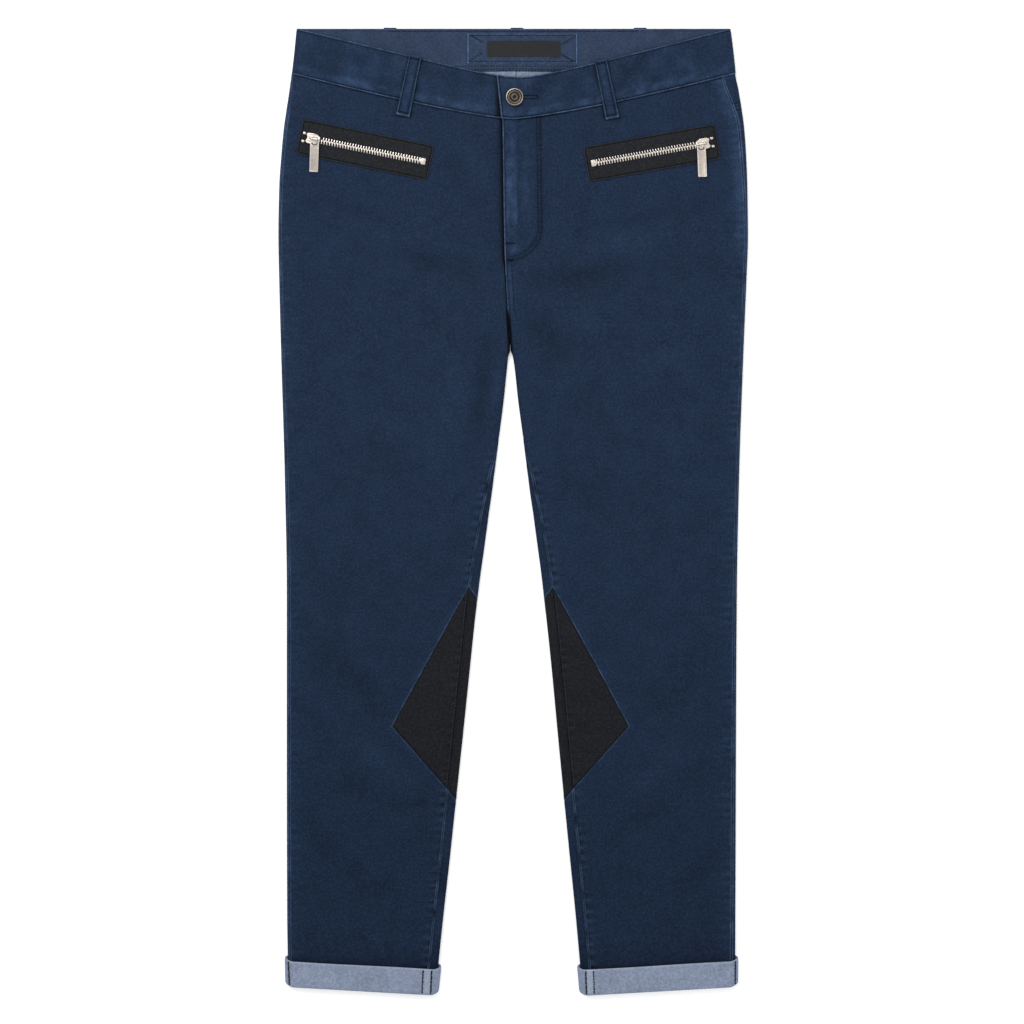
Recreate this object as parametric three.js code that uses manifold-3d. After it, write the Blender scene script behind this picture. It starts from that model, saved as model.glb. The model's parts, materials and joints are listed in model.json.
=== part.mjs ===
// Slim ankle-length jeans with turned-up hems, laid flat on their back with the fly upwards.
// Millimetres. +X is the wearer's left, +Y runs up to the waist and +Z up from the surface that
// the jeans lie on. The origin is the middle of that resting face.
//
// Each half of the garment is a flattened tube: its front panel lies on its back panel, and the
// cloth turns round a soft fold at the outer edge and another along the inside leg. A place on the
// cloth is given by "down", the distance below the waist's top edge, and by a way along the section.
import * as THREE from "three";
import { mergeVertices } from "three/addons/utils/BufferGeometryUtils.js";
import Module from "manifold-3d";

const wasm = await Module();
wasm.setup();

// ---------------------------------------------------------------- driving sizes

const MIDDLE = 463; // from the waist down to the origin, half way to the lowest hem
const SEAM_GAP = 0.3; // left open between two pieces at a seam
const CLOTH = 1.2; // one layer of cloth
const BAND_CLOTH = 2.2; // the waistband's two layers
const FORK = 310; // from the waist down to where the legs part
const CREVICE = 56; // above the fork the front seam sinks between the thighs over this length
const BACK_TURN = 16; // the back seam rises to meet it over this length
const FOLD_REACH = 6; // how far in from an edge the cloth's fold reaches
const FOLD_SHOULDER = 6; // flat cloth that still belongs to a fold's columns

// The front of the waist dips towards the fly: its top edge in two nearly straight slopes, whose
// lowest place is shifted to the wearer's left, and the band's lower seam in a hollow curve.
const WAIST = {
  topSlope: 0.25,
  topRound: 6,
  topShift: 4,
  seamDrop: 43.9,
  seamPower: 1.27,
  sideHeight: 43.6, // the band's height at the outer edges
  backHeight: 41, // and at the centre back
};
const YOKE = { side: 71, centre: 101 }; // the yoke's lower seam, below the waist

const HEM = {
  down: 919.2, // the fold of the turn-up at the outer edge
  slant: 0.057, // it drops this much for each millimetre towards the inside leg
  backRise: 7, // the back of the hem lies this much higher
  turnUp: 25,
  overhang: 1.2, // the turned-up cloth stands out this much more at the leg's two edges
  lip: 4, // how far the leg's own edge ends above the fold
  lipGap: 1.3, // between that edge and the cloth folded under it
  gap: 0.6, // between the leg and the turned-up cloth
  round: 1.2, // how far the fold's rounding reaches
};
const HEM_LIFT = HEM.gap + CLOTH; // the leg lies on the turn-up's underside

// Outer edges, as distances from the middle line.
const OUTER_EDGE = [
  { down: 0, right: 207.6, left: 208.8 },
  { down: 28, right: 210.4, left: 212.2 },
  { down: 43.6, right: 212.4, left: 213.8 },
  { down: 68, right: 215.8, left: 218 },
  { down: 97, right: 220, left: 222 },
  { down: 126, right: 222.6, left: 224 },
  { down: 150, right: 224.2, left: 224.8 },
  { down: 198, right: 225.1, left: 225.5 },
  { down: 241, right: 224.3, left: 224 },
  { down: 313, right: 222.4, left: 221 },
  { down: 428, right: 219, left: 217 },
  { down: 543, right: 217, left: 214.8 },
  { down: 687, right: 217, left: 214 },
  { down: 846, right: 216.7, left: 213.4 },
  { down: 926, right: 215.3, left: 213 },
];

// Inner edges of the legs, as places across the garment. The table starts at the fork.
const INNER_EDGE = [
  { down: 310, right: -2.55, left: -2.25 },
  { down: 313, right: -4.2, left: -0.6 },
  { down: 327, right: -5.8, left: 1.7 },
  { down: 356, right: -8.8, left: 4.8 },
  { down: 385, right: -12.5, left: 8.7 },
  { down: 443, right: -20.2, left: 16.3 },
  { down: 500, right: -27.8, left: 24 },
  { down: 558, right: -35.3, left: 31 },
  { down: 615, right: -41.3, left: 37 },
  { down: 673, right: -47.3, left: 42.4 },
  { down: 731, right: -53.5, left: 48 },
  { down: 788, right: -59.5, left: 53.6 },
  { down: 846, right: -65.8, left: 59.3 },
  { down: 926, right: -74, left: 66.4 },
];

// The line of the centre-front seam, and how far each leg's seams lie in from its edges.
const CENTRE_FRONT = [
  { down: 0, x: -12.5 },
  { down: 88, x: -10.4 },
  { down: 206, x: -8.5 },
  { down: 260, x: -6 },
  { down: 290, x: -3.6 },
  { down: FORK, x: -2.4 },
];
const CENTRE_BACK = { waist: 3.8, fork: -2.4 };
const SIDE_SEAM_INSET = [
  { down: 0, right: 0.8, left: 13.5 },
  { down: 45, right: 0.8, left: 12.5 },
  { down: 68, right: 1.5, left: 8.7 },
  { down: 90, right: 2, left: 5.4 },
  { down: 125, right: 2, left: 4.6 },
  { down: 170, right: 2, left: 2.8 },
  { down: 330, right: 2, left: 2 },
  { down: 500, right: 2.4, left: 2.4 },
  { down: 926, right: 2.4, left: 3.8 },
];
const INSEAM_INSET = [
  { down: FORK, inset: 0 },
  { down: 335, inset: -1.6 },
  { down: 375, inset: -1 },
  { down: 396, inset: 0.3 },
  { down: 440, inset: 5.4 },
  { down: 488, inset: 8.2 },
  { down: 540, inset: 9.6 },
  { down: 926, inset: 9.4 },
];
// Whole height of the flattened tube.
const LOFT = [
  { down: 0, height: 6.3 },
  { down: 310, height: 6.3 },
  { down: 520, height: 6 },
  { down: 926, height: 5.6 },
];

// Soft troughs (negative) and ridges of the front, each along a straight line.
const CREASES = [
  { x1: -8, down1: 244, x2: -84, down2: 222, width: 9, height: -0.7 },
  { x1: -14, down1: 226, x2: -70, down2: 200, width: 10, height: 0.35 },
  { x1: 4, down1: 246, x2: 106, down2: 231, width: 9, height: -0.8 },
  { x1: 8, down1: 222, x2: 76, down2: 198, width: 9, height: 0.4 },
  { x1: 20, down1: 266, x2: 92, down2: 292, width: 10, height: -0.5 },
  { x1: -18, down1: 282, x2: -36, down2: 410, width: 8, height: -0.8 },
  { x1: 22, down1: 290, x2: 34, down2: 372, width: 9, height: -0.7 },
  { x1: -52, down1: 300, x2: -66, down2: 420, width: 14, height: 0.35 },
  { x1: 170, down1: 196, x2: 70, down2: 262, width: 16, height: 0.35 },
  { x1: -190, down1: 236, x2: -110, down2: 262, width: 15, height: -0.4 },
  { x1: -180, down1: 560, x2: -110, down2: 590, width: 18, height: -0.45 },
  { x1: 175, down1: 590, x2: 110, down2: 570, width: 18, height: -0.45 },
  { x1: -150, down1: 742, x2: -95, down2: 720, width: 15, height: -0.4 },
  { x1: 150, down1: 760, x2: 95, down2: 735, width: 15, height: -0.4 },
];

// The left front laps over the right along the fly, whose facing is stitched down in a J.
const FLY = {
  width: 36.5,
  straight: 190, // the J's upright ends here
  bottom: 224, // and the J meets the seam here
  relief: 0.5,
  lap: 0.8, // the left front's edge stands this much proud, and the right's sinks
  lapWidth: 9,
};

// The black kite let into each inside leg. "across" is measured from the leg's inner edge.
const KITE = {
  top: 536,
  outer: 669,
  bottom: 729,
  seam: 9.6,
  reach: 59, // from the inside-leg seam to the kite's outer corner
  edgeTop: 551, // where its outline passes round the inner edge
  edgeBottom: 741,
  backReach: 46,
};

// Behind the fly: its zip, and the shield that the right front carries under it. "from" and "to"
// are across from the fly's edge.
const FLY_ZIP = { from: 8, to: 20, bottom: 206, behind: 0.1, thick: 1.3 };
const FLY_SHIELD = { from: 2.5, to: 33, bottom: 222, behind: 1.7, thick: 1 };

const LOOP = { width: 12, footWidth: 13.6, thick: 1.5, overTop: 1.2, bulge: 1 };
const FRONT_LOOPS = [
  { name: "loop_front_right", topX: -93.3, foot: { x: -105.7, down: 84 } },
  { name: "loop_front_left", topX: 83.8, foot: { x: 95.5, down: 86.5 } },
];
const BACK_LOOPS = [
  { name: "loop_back_right", x: -118 },
  { name: "loop_back_centre", x: 3.8 },
  { name: "loop_back_left", x: 122 },
];
const BACK_LOOP_FOOT = 53; // their lower ends, below the waist
const BACK_LIFT = LOOP.thick + SEAM_GAP; // the waist's cloth lies over them

const POCKET = {
  length: 128.5,
  width: 34.3,
  corner: 3.4,
  cornerCut: 1, // a point half way round the corner lies this far in from both edges
  thick: 0.9,
  chainWidth: 6,
  chainThick: 1.4,
  chainEnd: 54.4, // the bottom stop's end of the chain, from the middle
  chainPast: 5, // the other end, past the middle of the slider
};
// Their outer ends are the higher ones, by "tilt" in degrees. "slider" is its distance from the
// pocket's middle, towards the outer edge.
const POCKETS = {
  right: { x: -141.9, down: 116.3, tilt: 11.5, slider: 50.9 },
  left: { x: 133.3, down: 119.5, tilt: 10, slider: 49.7 },
};
const BOTTOM_STOP = { beyond: 2.6, length: 4.6, width: 6.3 };
const TOP_STOP = { beyond: 8.9, across: 3.9, length: 2.8, width: 2.4 };
const SLIDER = { length: 14.2, wide: 10.6, narrow: 8.2, plate: 0.8, clear: 0.3, taper: 0.9 };
// "bar" is a radius, and "back" how far the crown's middle lies behind the slider's.
const CROWN = { span: 8.6, bar: 0.7, height: 1.9, post: 1.5, back: 2 };
const PULL = {
  length: 31.6,
  width: 8.4,
  thick: 1.2,
  neck: 3.8,
  neckEnd: 2, // below the bar
  shoulder: 3.2, // where it has its whole width
  hole: 1.3, // a radius, as are the next two
  eye: 1.7,
  bore: 1.05,
  holeDown: 4,
  knuckle: 4.6, // the rolled eye's length
  corner: 0.8,
  droop: 9, // degrees below level
  lean: 2.6, // degrees from straight down the leg, towards the outer edge
};

const BUTTON = { x: 1.5, down: 66, radius: 8.5, rim: 1, height: 3, shank: 3.6 };
const LABEL_PATCH = { x: 9, down: 19.2, width: 105.5, height: 28.8, thick: 0.7 };
const LABEL = { x: 4.5, down: 19.6, width: 58.7, height: 15.4, thick: 0.5 };
const SIZE_TAB = { x: 40, down: 19.9, width: 11.4, height: 16.2, thick: 0.5 };

// ---------------------------------------------------------------- materials

const cloth = (color, roughness = 0.85) =>
  new THREE.MeshStandardMaterial({ color, roughness, metalness: 0 });
const MATERIALS = {
  navy: cloth(0x243147),
  black: cloth(0x222326, 0.75),
  wrongSide: cloth(0x828da2, 0.95),
  label: cloth(0x2a292a, 0.8),
  nickel: new THREE.MeshStandardMaterial({ color: 0xd8d2ca, roughness: 0.28, metalness: 1 }),
  gunmetal: new THREE.MeshStandardMaterial({ color: 0x6e625c, roughness: 0.4, metalness: 1 }),
};

// ---------------------------------------------------------------- small mathematics

const lerp = (a, b, t) => a + (b - a) * t;
const clamp01 = (t) => Math.min(1, Math.max(0, t));
const smooth = (a, b, x) => {
  const t = clamp01((x - a) / (b - a));
  return t * t * (3 - 2 * t);
};
const steps = (n) => Array.from({ length: n + 1 }, (_, i) => i / n);

// A curve through one column of a table, with no overshoot between its rows.
function tableCurve(rows, column) {
  const x = rows.map((row) => row.down);
  const y = rows.map((row) => row[column]);
  const slope = x.slice(1).map((xi, i) => (y[i + 1] - y[i]) / (xi - x[i]));
  const tangent = y.map((_, i) => {
    if (i === 0) return slope[0];
    if (i === y.length - 1) return slope[i - 1];
    if (slope[i - 1] * slope[i] <= 0) return 0;
    return (2 * slope[i - 1] * slope[i]) / (slope[i - 1] + slope[i]);
  });
  return (down) => {
    let i = x.findIndex((xi) => xi > down) - 1;
    if (i < 0) i = down < x[0] ? 0 : x.length - 2;
    const h = x[i + 1] - x[i];
    const t = clamp01((down - x[i]) / h);
    const square = t * t;
    const cube = square * t;
    return (
      (2 * cube - 3 * square + 1) * y[i] +
      (cube - 2 * square + t) * h * tangent[i] +
      (3 * square - 2 * cube) * y[i + 1] +
      (cube - square) * h * tangent[i + 1]
    );
  };
}

const bySide = (rows) => ({ right: tableCurve(rows, "right"), left: tableCurve(rows, "left") });
const outerEdge = bySide(OUTER_EDGE);
const innerEdge = bySide(INNER_EDGE);
const sideSeamInset = bySide(SIDE_SEAM_INSET);
const centreFront = tableCurve(CENTRE_FRONT, "x");
const inseamInset = tableCurve(INSEAM_INSET, "inset");
const loft = tableCurve(LOFT, "height");
const centreBack = (down) => lerp(CENTRE_BACK.waist, CENTRE_BACK.fork, clamp01(down / FORK));

// How far out a place lies: 0 in the middle, 1 at the outer edge that the garment has at "down".
const outward = (x, down) => Math.abs(x) / outerEdge[x < 0 ? "right" : "left"](down);

// How far the front's two edges of the band lie below the waist, and the back's lower one.
function waistTop(x) {
  const rise = (at) => Math.hypot(WAIST.topSlope * at, WAIST.topRound);
  const half = outerEdge[x < 0 ? "right" : "left"](0);
  return rise(half) - rise(x - WAIST.topShift * (1 - (x / half) ** 2));
}
function waistSeam(x) {
  return WAIST.sideHeight + WAIST.seamDrop * (1 - outward(x, WAIST.sideHeight) ** WAIST.seamPower);
}
const backSeam = (x) =>
  lerp(WAIST.backHeight, WAIST.sideHeight, clamp01(outward(x, WAIST.sideHeight)));
const yokeSeam = (x) => lerp(YOKE.centre, YOKE.side, clamp01(outward(x, YOKE.side)));

const SIDES = [
  { name: "right", sign: -1 },
  { name: "left", sign: 1 },
];
const toY = (down) => MIDDLE - down;
const toDown = (y) => MIDDLE - y;

// ---------------------------------------------------------------- the cloth's section

// A fold's section: half an ellipse, then flat. "way" runs from the fold's outermost line, positive
// over the top and negative underneath. "inward" is the distance in from that outermost line.
const quarter = (height) => (Math.PI / 4) * (FOLD_REACH + height / 2);

function foldAt(way, height) {
  const q = quarter(height);
  const up = Math.sign(way) || 1;
  if (Math.abs(way) > q) {
    return {
      inward: FOLD_REACH + Math.abs(way) - q,
      z: up > 0 ? height : 0,
      normal: [0, -up],
    };
  }
  const angle = ((Math.PI / 2) * way) / q;
  const n = [Math.cos(angle) / FOLD_REACH, -Math.sin(angle) / (height / 2)];
  const size = Math.hypot(...n);
  return {
    inward: FOLD_REACH * (1 - Math.cos(angle)),
    z: (height / 2) * (1 + Math.sin(angle)),
    normal: [n[0] / size, n[1] / size],
  };
}

// The way along a fold that lies a given distance in from the edge; a negative one is underneath.
function wayOfInset(inset, height) {
  const q = quarter(height);
  const size = Math.abs(inset);
  const way =
    size > FOLD_REACH ? q + size - FOLD_REACH : (q * Math.acos(1 - size / FOLD_REACH)) / (Math.PI / 2);
  return Math.sign(inset) * way;
}

// How far the leg is lifted by the turn-up under it.
const hemLift = (down) => HEM_LIFT * smooth(HEM.down - 82, HEM.down - HEM.turnUp - 4, down);

// The fly's J: 1 on the stitched facing, 0 outside it.
function onFly(x, down) {
  const across = x - centreFront(down);
  const reach =
    down < FLY.straight
      ? FLY.width
      : FLY.width * Math.sqrt(clamp01(1 - ((down - FLY.straight) / (FLY.bottom - FLY.straight)) ** 2));
  return across < 0 || down > FLY.bottom ? 0 : 1 - smooth(reach - 1.5, reach + 1.5, across);
}

function creaseAt(x, down) {
  return CREASES.reduce((sum, c) => {
    const dx = c.x2 - c.x1;
    const dd = c.down2 - c.down1;
    const size = dx * dx + dd * dd;
    const t = ((x - c.x1) * dx + (down - c.down1) * dd) / size;
    if (t <= 0 || t >= 1) return sum;
    const off = Math.abs((x - c.x1) * dd - (down - c.down1) * dx) / Math.sqrt(size);
    return sum + c.height * Math.sin(Math.PI * t) ** 1.2 * Math.exp(-((off / c.width) ** 2));
  }, 0);
}

// What the front's outer face stands above its even height.
function relief(x, down) {
  const across = x - centreFront(down);
  const lap = FLY.lap * (1 - smooth(0, FLY.lapWidth, Math.abs(across)));
  const lapHere = down < FORK - CREVICE ? lap * (1 - smooth(FLY.bottom - 6, FLY.bottom + 22, down)) : 0;
  return creaseAt(x, down) + FLY.relief * onFly(x, down) + Math.sign(across) * lapHere;
}

const frontTop = (x, down) => loft(down) + hemLift(down) + relief(x, down);

// How far the back's cloth is held off the surface by the belt loops under it.
const loopLift = (down) => BACK_LIFT * (1 - smooth(BACK_LOOP_FOOT + 4, BACK_LOOP_FOOT + 45, down));

// A section's cell: the outer and the inner point of the wall at one place. "sign" is +1 where the
// fold faces the wearer's right and -1 where it faces the left. "share" runs from 0 underneath to 1.
function cell(x, down, fold, sign, height, options) {
  const { thick = CLOTH, lift = 0 } = options;
  const share = fold.z / height;
  const raised = options.relief ? options.relief(x, down) * smooth(0.55, 1, share) : 0;
  const under = loopLift(down) * (1 - smooth(0, 0.6, share));
  const rise = HEM.backRise * smooth(HEM.down - 120, HEM.down - 30, down) * (1 - share);
  const z = fold.z + lift + raised + under;
  const y = toY(down) + rise;
  return {
    outer: new THREE.Vector3(x, y, z),
    inner: new THREE.Vector3(x + sign * fold.normal[0] * thick, y, z + fold.normal[1] * thick),
  };
}

// A panel's stations start along its slanting top seam and end along the slanting hem. These are
// how far a place across the panel lies below its station at the outer edge.
function hemDrop(x, side, station) {
  const inward = outerEdge[side.name](station) - side.sign * x;
  return HEM.slant * inward * smooth(HEM.down - 140, HEM.down - 30, station);
}
function topDrop(seam, x, side, station) {
  const level = (down) => seam(side.sign * outerEdge[side.name](down));
  return (seam(x) - level(station)) * (1 - smooth(level(YOKE.side), FORK - CREVICE, station));
}

// ---------------------------------------------------------------- closed walls

function orient(positions, index) {
  let volume = 0;
  const a = new THREE.Vector3();
  const b = new THREE.Vector3();
  const c = new THREE.Vector3();
  for (let i = 0; i < index.length; i += 3) {
    a.fromArray(positions, 3 * index[i]);
    b.fromArray(positions, 3 * index[i + 1]);
    c.fromArray(positions, 3 * index[i + 2]);
    volume += a.dot(b.cross(c));
  }
  if (volume < 0) {
    for (let i = 0; i < index.length; i += 3) [index[i + 1], index[i + 2]] = [index[i + 2], index[i + 1]];
  }
}

function geometryOf(points, index) {
  const positions = points.flatMap((p) => p.toArray());
  orient(positions, index);
  return new THREE.BufferGeometry()
    .setAttribute("position", new THREE.Float32BufferAttribute(positions, 3))
    .setIndex(index);
}

// A cell of a thin piece that lies level: its foot and its thickness.
const sheetCell = (x, y, low, thick) => ({
  outer: new THREE.Vector3(x, y, low + thick),
  inner: new THREE.Vector3(x, y, low),
});

// A closed wall through a grid of cells, rows by columns.
function wall(grid) {
  const rows = grid.length;
  const columns = grid[0].length;
  const cells = grid.flat();
  const points = [...cells.map((c) => c.outer), ...cells.map((c) => c.inner)];
  const at = (r, c, layer) => layer * rows * columns + r * columns + c;
  const index = [];
  const quad = (a, b, c, d) => index.push(a, b, c, a, c, d);
  const last = columns - 1;
  for (let r = 0; r < rows - 1; r++) {
    for (let c = 0; c < last; c++) {
      quad(at(r, c, 0), at(r, c + 1, 0), at(r + 1, c + 1, 0), at(r + 1, c, 0));
      quad(at(r, c, 1), at(r + 1, c, 1), at(r + 1, c + 1, 1), at(r, c + 1, 1));
    }
    quad(at(r, 0, 0), at(r + 1, 0, 0), at(r + 1, 0, 1), at(r, 0, 1));
    quad(at(r, last, 0), at(r, last, 1), at(r + 1, last, 1), at(r + 1, last, 0));
  }
  for (let c = 0; c < last; c++) {
    quad(at(0, c, 0), at(0, c, 1), at(0, c + 1, 1), at(0, c + 1, 0));
    quad(at(rows - 1, c, 0), at(rows - 1, c + 1, 0), at(rows - 1, c + 1, 1), at(rows - 1, c, 1));
  }
  return geometryOf(points, index);
}

// A closed ring: one closed profile of points at each of its stations, round and back to the first.
function ring(profiles) {
  const n = profiles.length;
  const m = profiles[0].length;
  const index = [];
  for (let i = 0; i < n; i++) {
    for (let j = 0; j < m; j++) {
      const [a, b] = [i * m + j, i * m + ((j + 1) % m)];
      const [c, d] = [((i + 1) % n) * m + ((j + 1) % m), ((i + 1) % n) * m + j];
      index.push(a, b, c, a, c, d);
    }
  }
  return geometryOf(profiles.flat(), index);
}

function solidOf(geometry) {
  const bare = geometry.clone();
  bare.deleteAttribute("normal");
  bare.deleteAttribute("uv");
  const merged = mergeVertices(bare, 1e-4);
  return new wasm.Manifold(
    new wasm.Mesh({
      numProp: 3,
      vertProperties: new Float32Array(merged.attributes.position.array),
      triVerts: new Uint32Array(merged.index.array),
    }),
  );
}

function geometryFrom(solid) {
  const mesh = solid.getMesh();
  return new THREE.BufferGeometry()
    .setAttribute("position", new THREE.BufferAttribute(new Float32Array(mesh.vertProperties), 3))
    .setIndex(new THREE.BufferAttribute(new Uint32Array(mesh.triVerts), 1));
}

// ---------------------------------------------------------------- panels

// Where each panel has a row of points. Both sides of a curved seam share their rows.
const HIP_STATIONS = [90, 108, 128, 150, 174];
const CROTCH_STATIONS = [286, 301, FORK, 313, 321, 335, 354, 376, 400, 428, 460, 500, 545];
const HEM_STATIONS = [836, 862, HEM.down - HEM.turnUp - 4, HEM.down - HEM.lip];
const FRONT_STATIONS = [
  ...[WAIST.sideHeight + SEAM_GAP / 2, 57, YOKE.side, ...HIP_STATIONS, 198, 222, 244, 266],
  ...[...CROTCH_STATIONS, 600, 660, 720, 780, ...HEM_STATIONS],
];
const YOKE_STATIONS = [WAIST.sideHeight + SEAM_GAP / 2, 57, YOKE.side - SEAM_GAP / 2];
const BACK_STATIONS = [
  ...[YOKE.side + SEAM_GAP / 2, ...HIP_STATIONS, 198, 244, ...CROTCH_STATIONS, 660, 780],
  ...HEM_STATIONS,
];

// The inner end of a front row: where the fold's outermost line is, and the way to the seam.
function frontInner(side, down) {
  const height = loft(down);
  if (down >= FORK) {
    const way = wayOfInset(inseamInset(down), height) + SEAM_GAP / 2;
    return { edge: innerEdge[side.name](down), way };
  }
  const way = quarter(height) * (1 - smooth(FORK - CREVICE, FORK, down)) + SEAM_GAP / 2;
  const seam = centreFront(down) + (side.sign * SEAM_GAP) / 2;
  return { edge: seam - side.sign * foldAt(way, height).inward, way };
}

function backInner(side, down) {
  const height = loft(down);
  if (down >= FORK) {
    const way = wayOfInset(inseamInset(down), height) - SEAM_GAP / 2;
    return { edge: innerEdge[side.name](down), way };
  }
  const way = -quarter(height) * (1 - smooth(FORK - BACK_TURN, FORK, down)) - SEAM_GAP / 2;
  const seam = centreBack(down) + (side.sign * SEAM_GAP) / 2;
  return { edge: seam - side.sign * foldAt(way, height).inward, way };
}

const frontDrop = (side, station) => (x) =>
  topDrop(waistSeam, x, side, station) + hemDrop(x, side, station);

// Places spread evenly between two others, without these.
const between = (from, to, parts) => steps(parts).slice(1, -1).map((t) => lerp(from, to, t));

// A front row, from the side seam to the middle.
function frontRow(side, station) {
  const { name, sign } = side;
  const drop = frontDrop(side, station);
  const height = loft(station);
  const outerX = sign * outerEdge[name](station);
  const outerWay = wayOfInset(sideSeamInset[name](station), height) + SEAM_GAP / 2;
  const flatWay = quarter(height) + FOLD_SHOULDER;
  const flatIn = FOLD_REACH + FOLD_SHOULDER;
  const middleDrop = drop(station < FORK ? 0 : innerEdge[name](station));
  const inner = frontInner(side, station + middleDrop);
  const options = { relief, lift: hemLift(station) };
  const make = (x, fold, turn) => cell(x, station + drop(x), fold, turn, height, options);
  const flat = foldAt(flatWay, height);
  const row = steps(3).map((t) => {
    const fold = foldAt(lerp(outerWay, flatWay, t), height);
    return make(outerX - sign * fold.inward, fold, -sign);
  });
  const from = outerX - sign * flatIn;
  const near = FLY_COLUMNS.map((u) => inner.edge + sign * (flatIn + u));
  between(from, near[0], 5).forEach((x) => row.push(make(x, flat, -sign)));
  near.forEach((x) => row.push(make(x, flat, -sign)));
  steps(4).forEach((t) => {
    const fold = foldAt(lerp(flatWay, inner.way, t), height);
    row.push(make(inner.edge + sign * fold.inward, fold, sign));
  });
  return row;
}

// A row of the back or the yoke, from the middle underneath, round the outer fold to the side seam.
function backRow(side, station, drop) {
  const { name, sign } = side;
  const height = loft(station);
  const outerX = sign * outerEdge[name](station);
  const outerWay = wayOfInset(sideSeamInset[name](station), height) - SEAM_GAP / 2;
  const flatWay = -quarter(height) - FOLD_SHOULDER;
  const flatIn = FOLD_REACH + FOLD_SHOULDER;
  const middleDrop = drop(station < FORK ? 0 : innerEdge[name](station));
  const inner = backInner(side, station + middleDrop);
  const make = (x, fold, turn, across = drop) =>
    cell(x, station + across(x), fold, turn, height, { lift: hemLift(station) });
  const flat = foldAt(flatWay, height);
  const row = steps(7).map((t) => {
    const fold = foldAt(lerp(inner.way, flatWay, t), height);
    return make(inner.edge + sign * fold.inward, fold, sign);
  });
  const from = inner.edge + sign * flatIn;
  const to = outerX - sign * flatIn;
  between(from, to, 5).forEach((x) => row.push(make(x, flat, -sign)));
  steps(6).forEach((t) => {
    const way = lerp(flatWay, outerWay, t);
    const fold = foldAt(way, height);
    row.push(make(outerX - sign * fold.inward, fold, -sign, way > 0 ? frontDrop(side, station) : drop));
  });
  return row;
}

// Columns of the front that the fly's facing needs, measured in from the middle fold's flat cloth.
const FLY_COLUMNS = [38, 26, 10];

const frontPanel = (side) => wall(FRONT_STATIONS.map((station) => frontRow(side, station)));

function backPanel(side) {
  const drop = (station) => (x) => topDrop(yokeSeam, x, side, station) + hemDrop(x, side, station);
  return wall(BACK_STATIONS.map((station) => backRow(side, station, drop(station))));
}

// The yoke's rows turn from the band's lower seam to its own.
function yoke(side) {
  const [first, , last] = YOKE_STATIONS;
  return wall(
    YOKE_STATIONS.map((station) => {
      const t = (station - first) / (last - first);
      const edge = side.sign * outerEdge[side.name](station);
      const drop = (x) => lerp(backSeam(x) - backSeam(edge), yokeSeam(x) - yokeSeam(edge), t);
      return backRow(side, station, drop);
    }),
  );
}

// ---------------------------------------------------------------- waistband

const BAND_LOFT = 7.2;
const BAND_CROWN = 0.35;
const LAP = { rise: 1.4, sink: 1.2, from: 38, to: 78 }; // the left end lies over the right end
const BAND_END = { left: { top: -16, seam: -11.5 }, right: { top: 22, seam: 22 } };

// How the two ends of the band pass over each other at the fly.
function bandLap(name, x) {
  const near = 1 - smooth(LAP.from, LAP.to, Math.abs(x + 10));
  return name === "left" ? LAP.rise * near : -LAP.sink * near;
}
const bandTop = (x) => BAND_LOFT + bandLap(x > BAND_END.left.seam ? "left" : "right", x);

function waistband(side) {
  const { name, sign } = side;
  const edge = (h) => sign * outerEdge[name](h * WAIST.sideHeight);
  const flatWay = quarter(BAND_LOFT) + 4;
  const flatIn = FOLD_REACH + 4;
  const bandRow = (h) => {
    const rows = [];
    const crown = BAND_CROWN * Math.sin(Math.PI * h);
    const place = (x, fold, turn, isBack) => {
      const frontDown = lerp(waistTop(x), waistSeam(x) - SEAM_GAP / 2, h);
      const backDown = lerp(0, backSeam(x) - SEAM_GAP / 2, h);
      const down = isBack ? backDown : frontDown;
      const share = fold.z / BAND_LOFT;
      const lift = (bandLap(name, x) + crown) * smooth(0.6, 1, share);
      return cell(x, down, fold, turn, BAND_LOFT, { thick: BAND_CLOTH, lift });
    };
    const end = lerp(BAND_END[name].top, BAND_END[name].seam, h);
    const flatTop = foldAt(flatWay, BAND_LOFT);
    const flatUnder = foldAt(-flatWay, BAND_LOFT);
    const turnX = edge(h) - sign * flatIn;
    steps(10)
      .slice(0, -1)
      .forEach((t) => rows.push(place(lerp(end, turnX, t), flatTop, -sign, false)));
    steps(10).forEach((t) => {
      const fold = foldAt(lerp(flatWay, -flatWay, t), BAND_LOFT);
      rows.push(place(edge(h) - sign * fold.inward, fold, -sign, t > 0.5));
    });
    const middle = CENTRE_BACK.waist + (sign * SEAM_GAP) / 2;
    steps(5)
      .slice(1)
      .forEach((t) => rows.push(place(lerp(turnX, middle, t), flatUnder, -sign, true)));
    return rows;
  };
  return wall(steps(3).map(bandRow));
}

// ---------------------------------------------------------------- kites let into the legs

const KITE_MARGIN = 3.6; // how far a cutter runs past the cloth's edge

// A convex outline moved out by a distance, or in by a negative one.
function offsetOutline(points, distance) {
  const n = points.length;
  const area = points.reduce((sum, p, i) => sum + p.cross(points[(i + 1) % n]), 0);
  const out = Math.sign(area) * distance;
  return points.map((p, i) => {
    const a = p.clone().sub(points[(i + n - 1) % n]).normalize();
    const b = points[(i + 1) % n].clone().sub(p).normalize();
    const na = new THREE.Vector2(a.y, -a.x);
    const nb = new THREE.Vector2(b.y, -b.x);
    const miter = na.clone().add(nb);
    return p.clone().addScaledVector(miter, (2 * out) / miter.lengthSq());
  });
}

function prism(outline, low, high, grow) {
  const shape = new THREE.Shape(offsetOutline(outline, grow));
  const geometry = new THREE.ExtrudeGeometry(shape, { depth: high - low, bevelEnabled: false });
  return solidOf(geometry.translate(0, 0, low));
}

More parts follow.
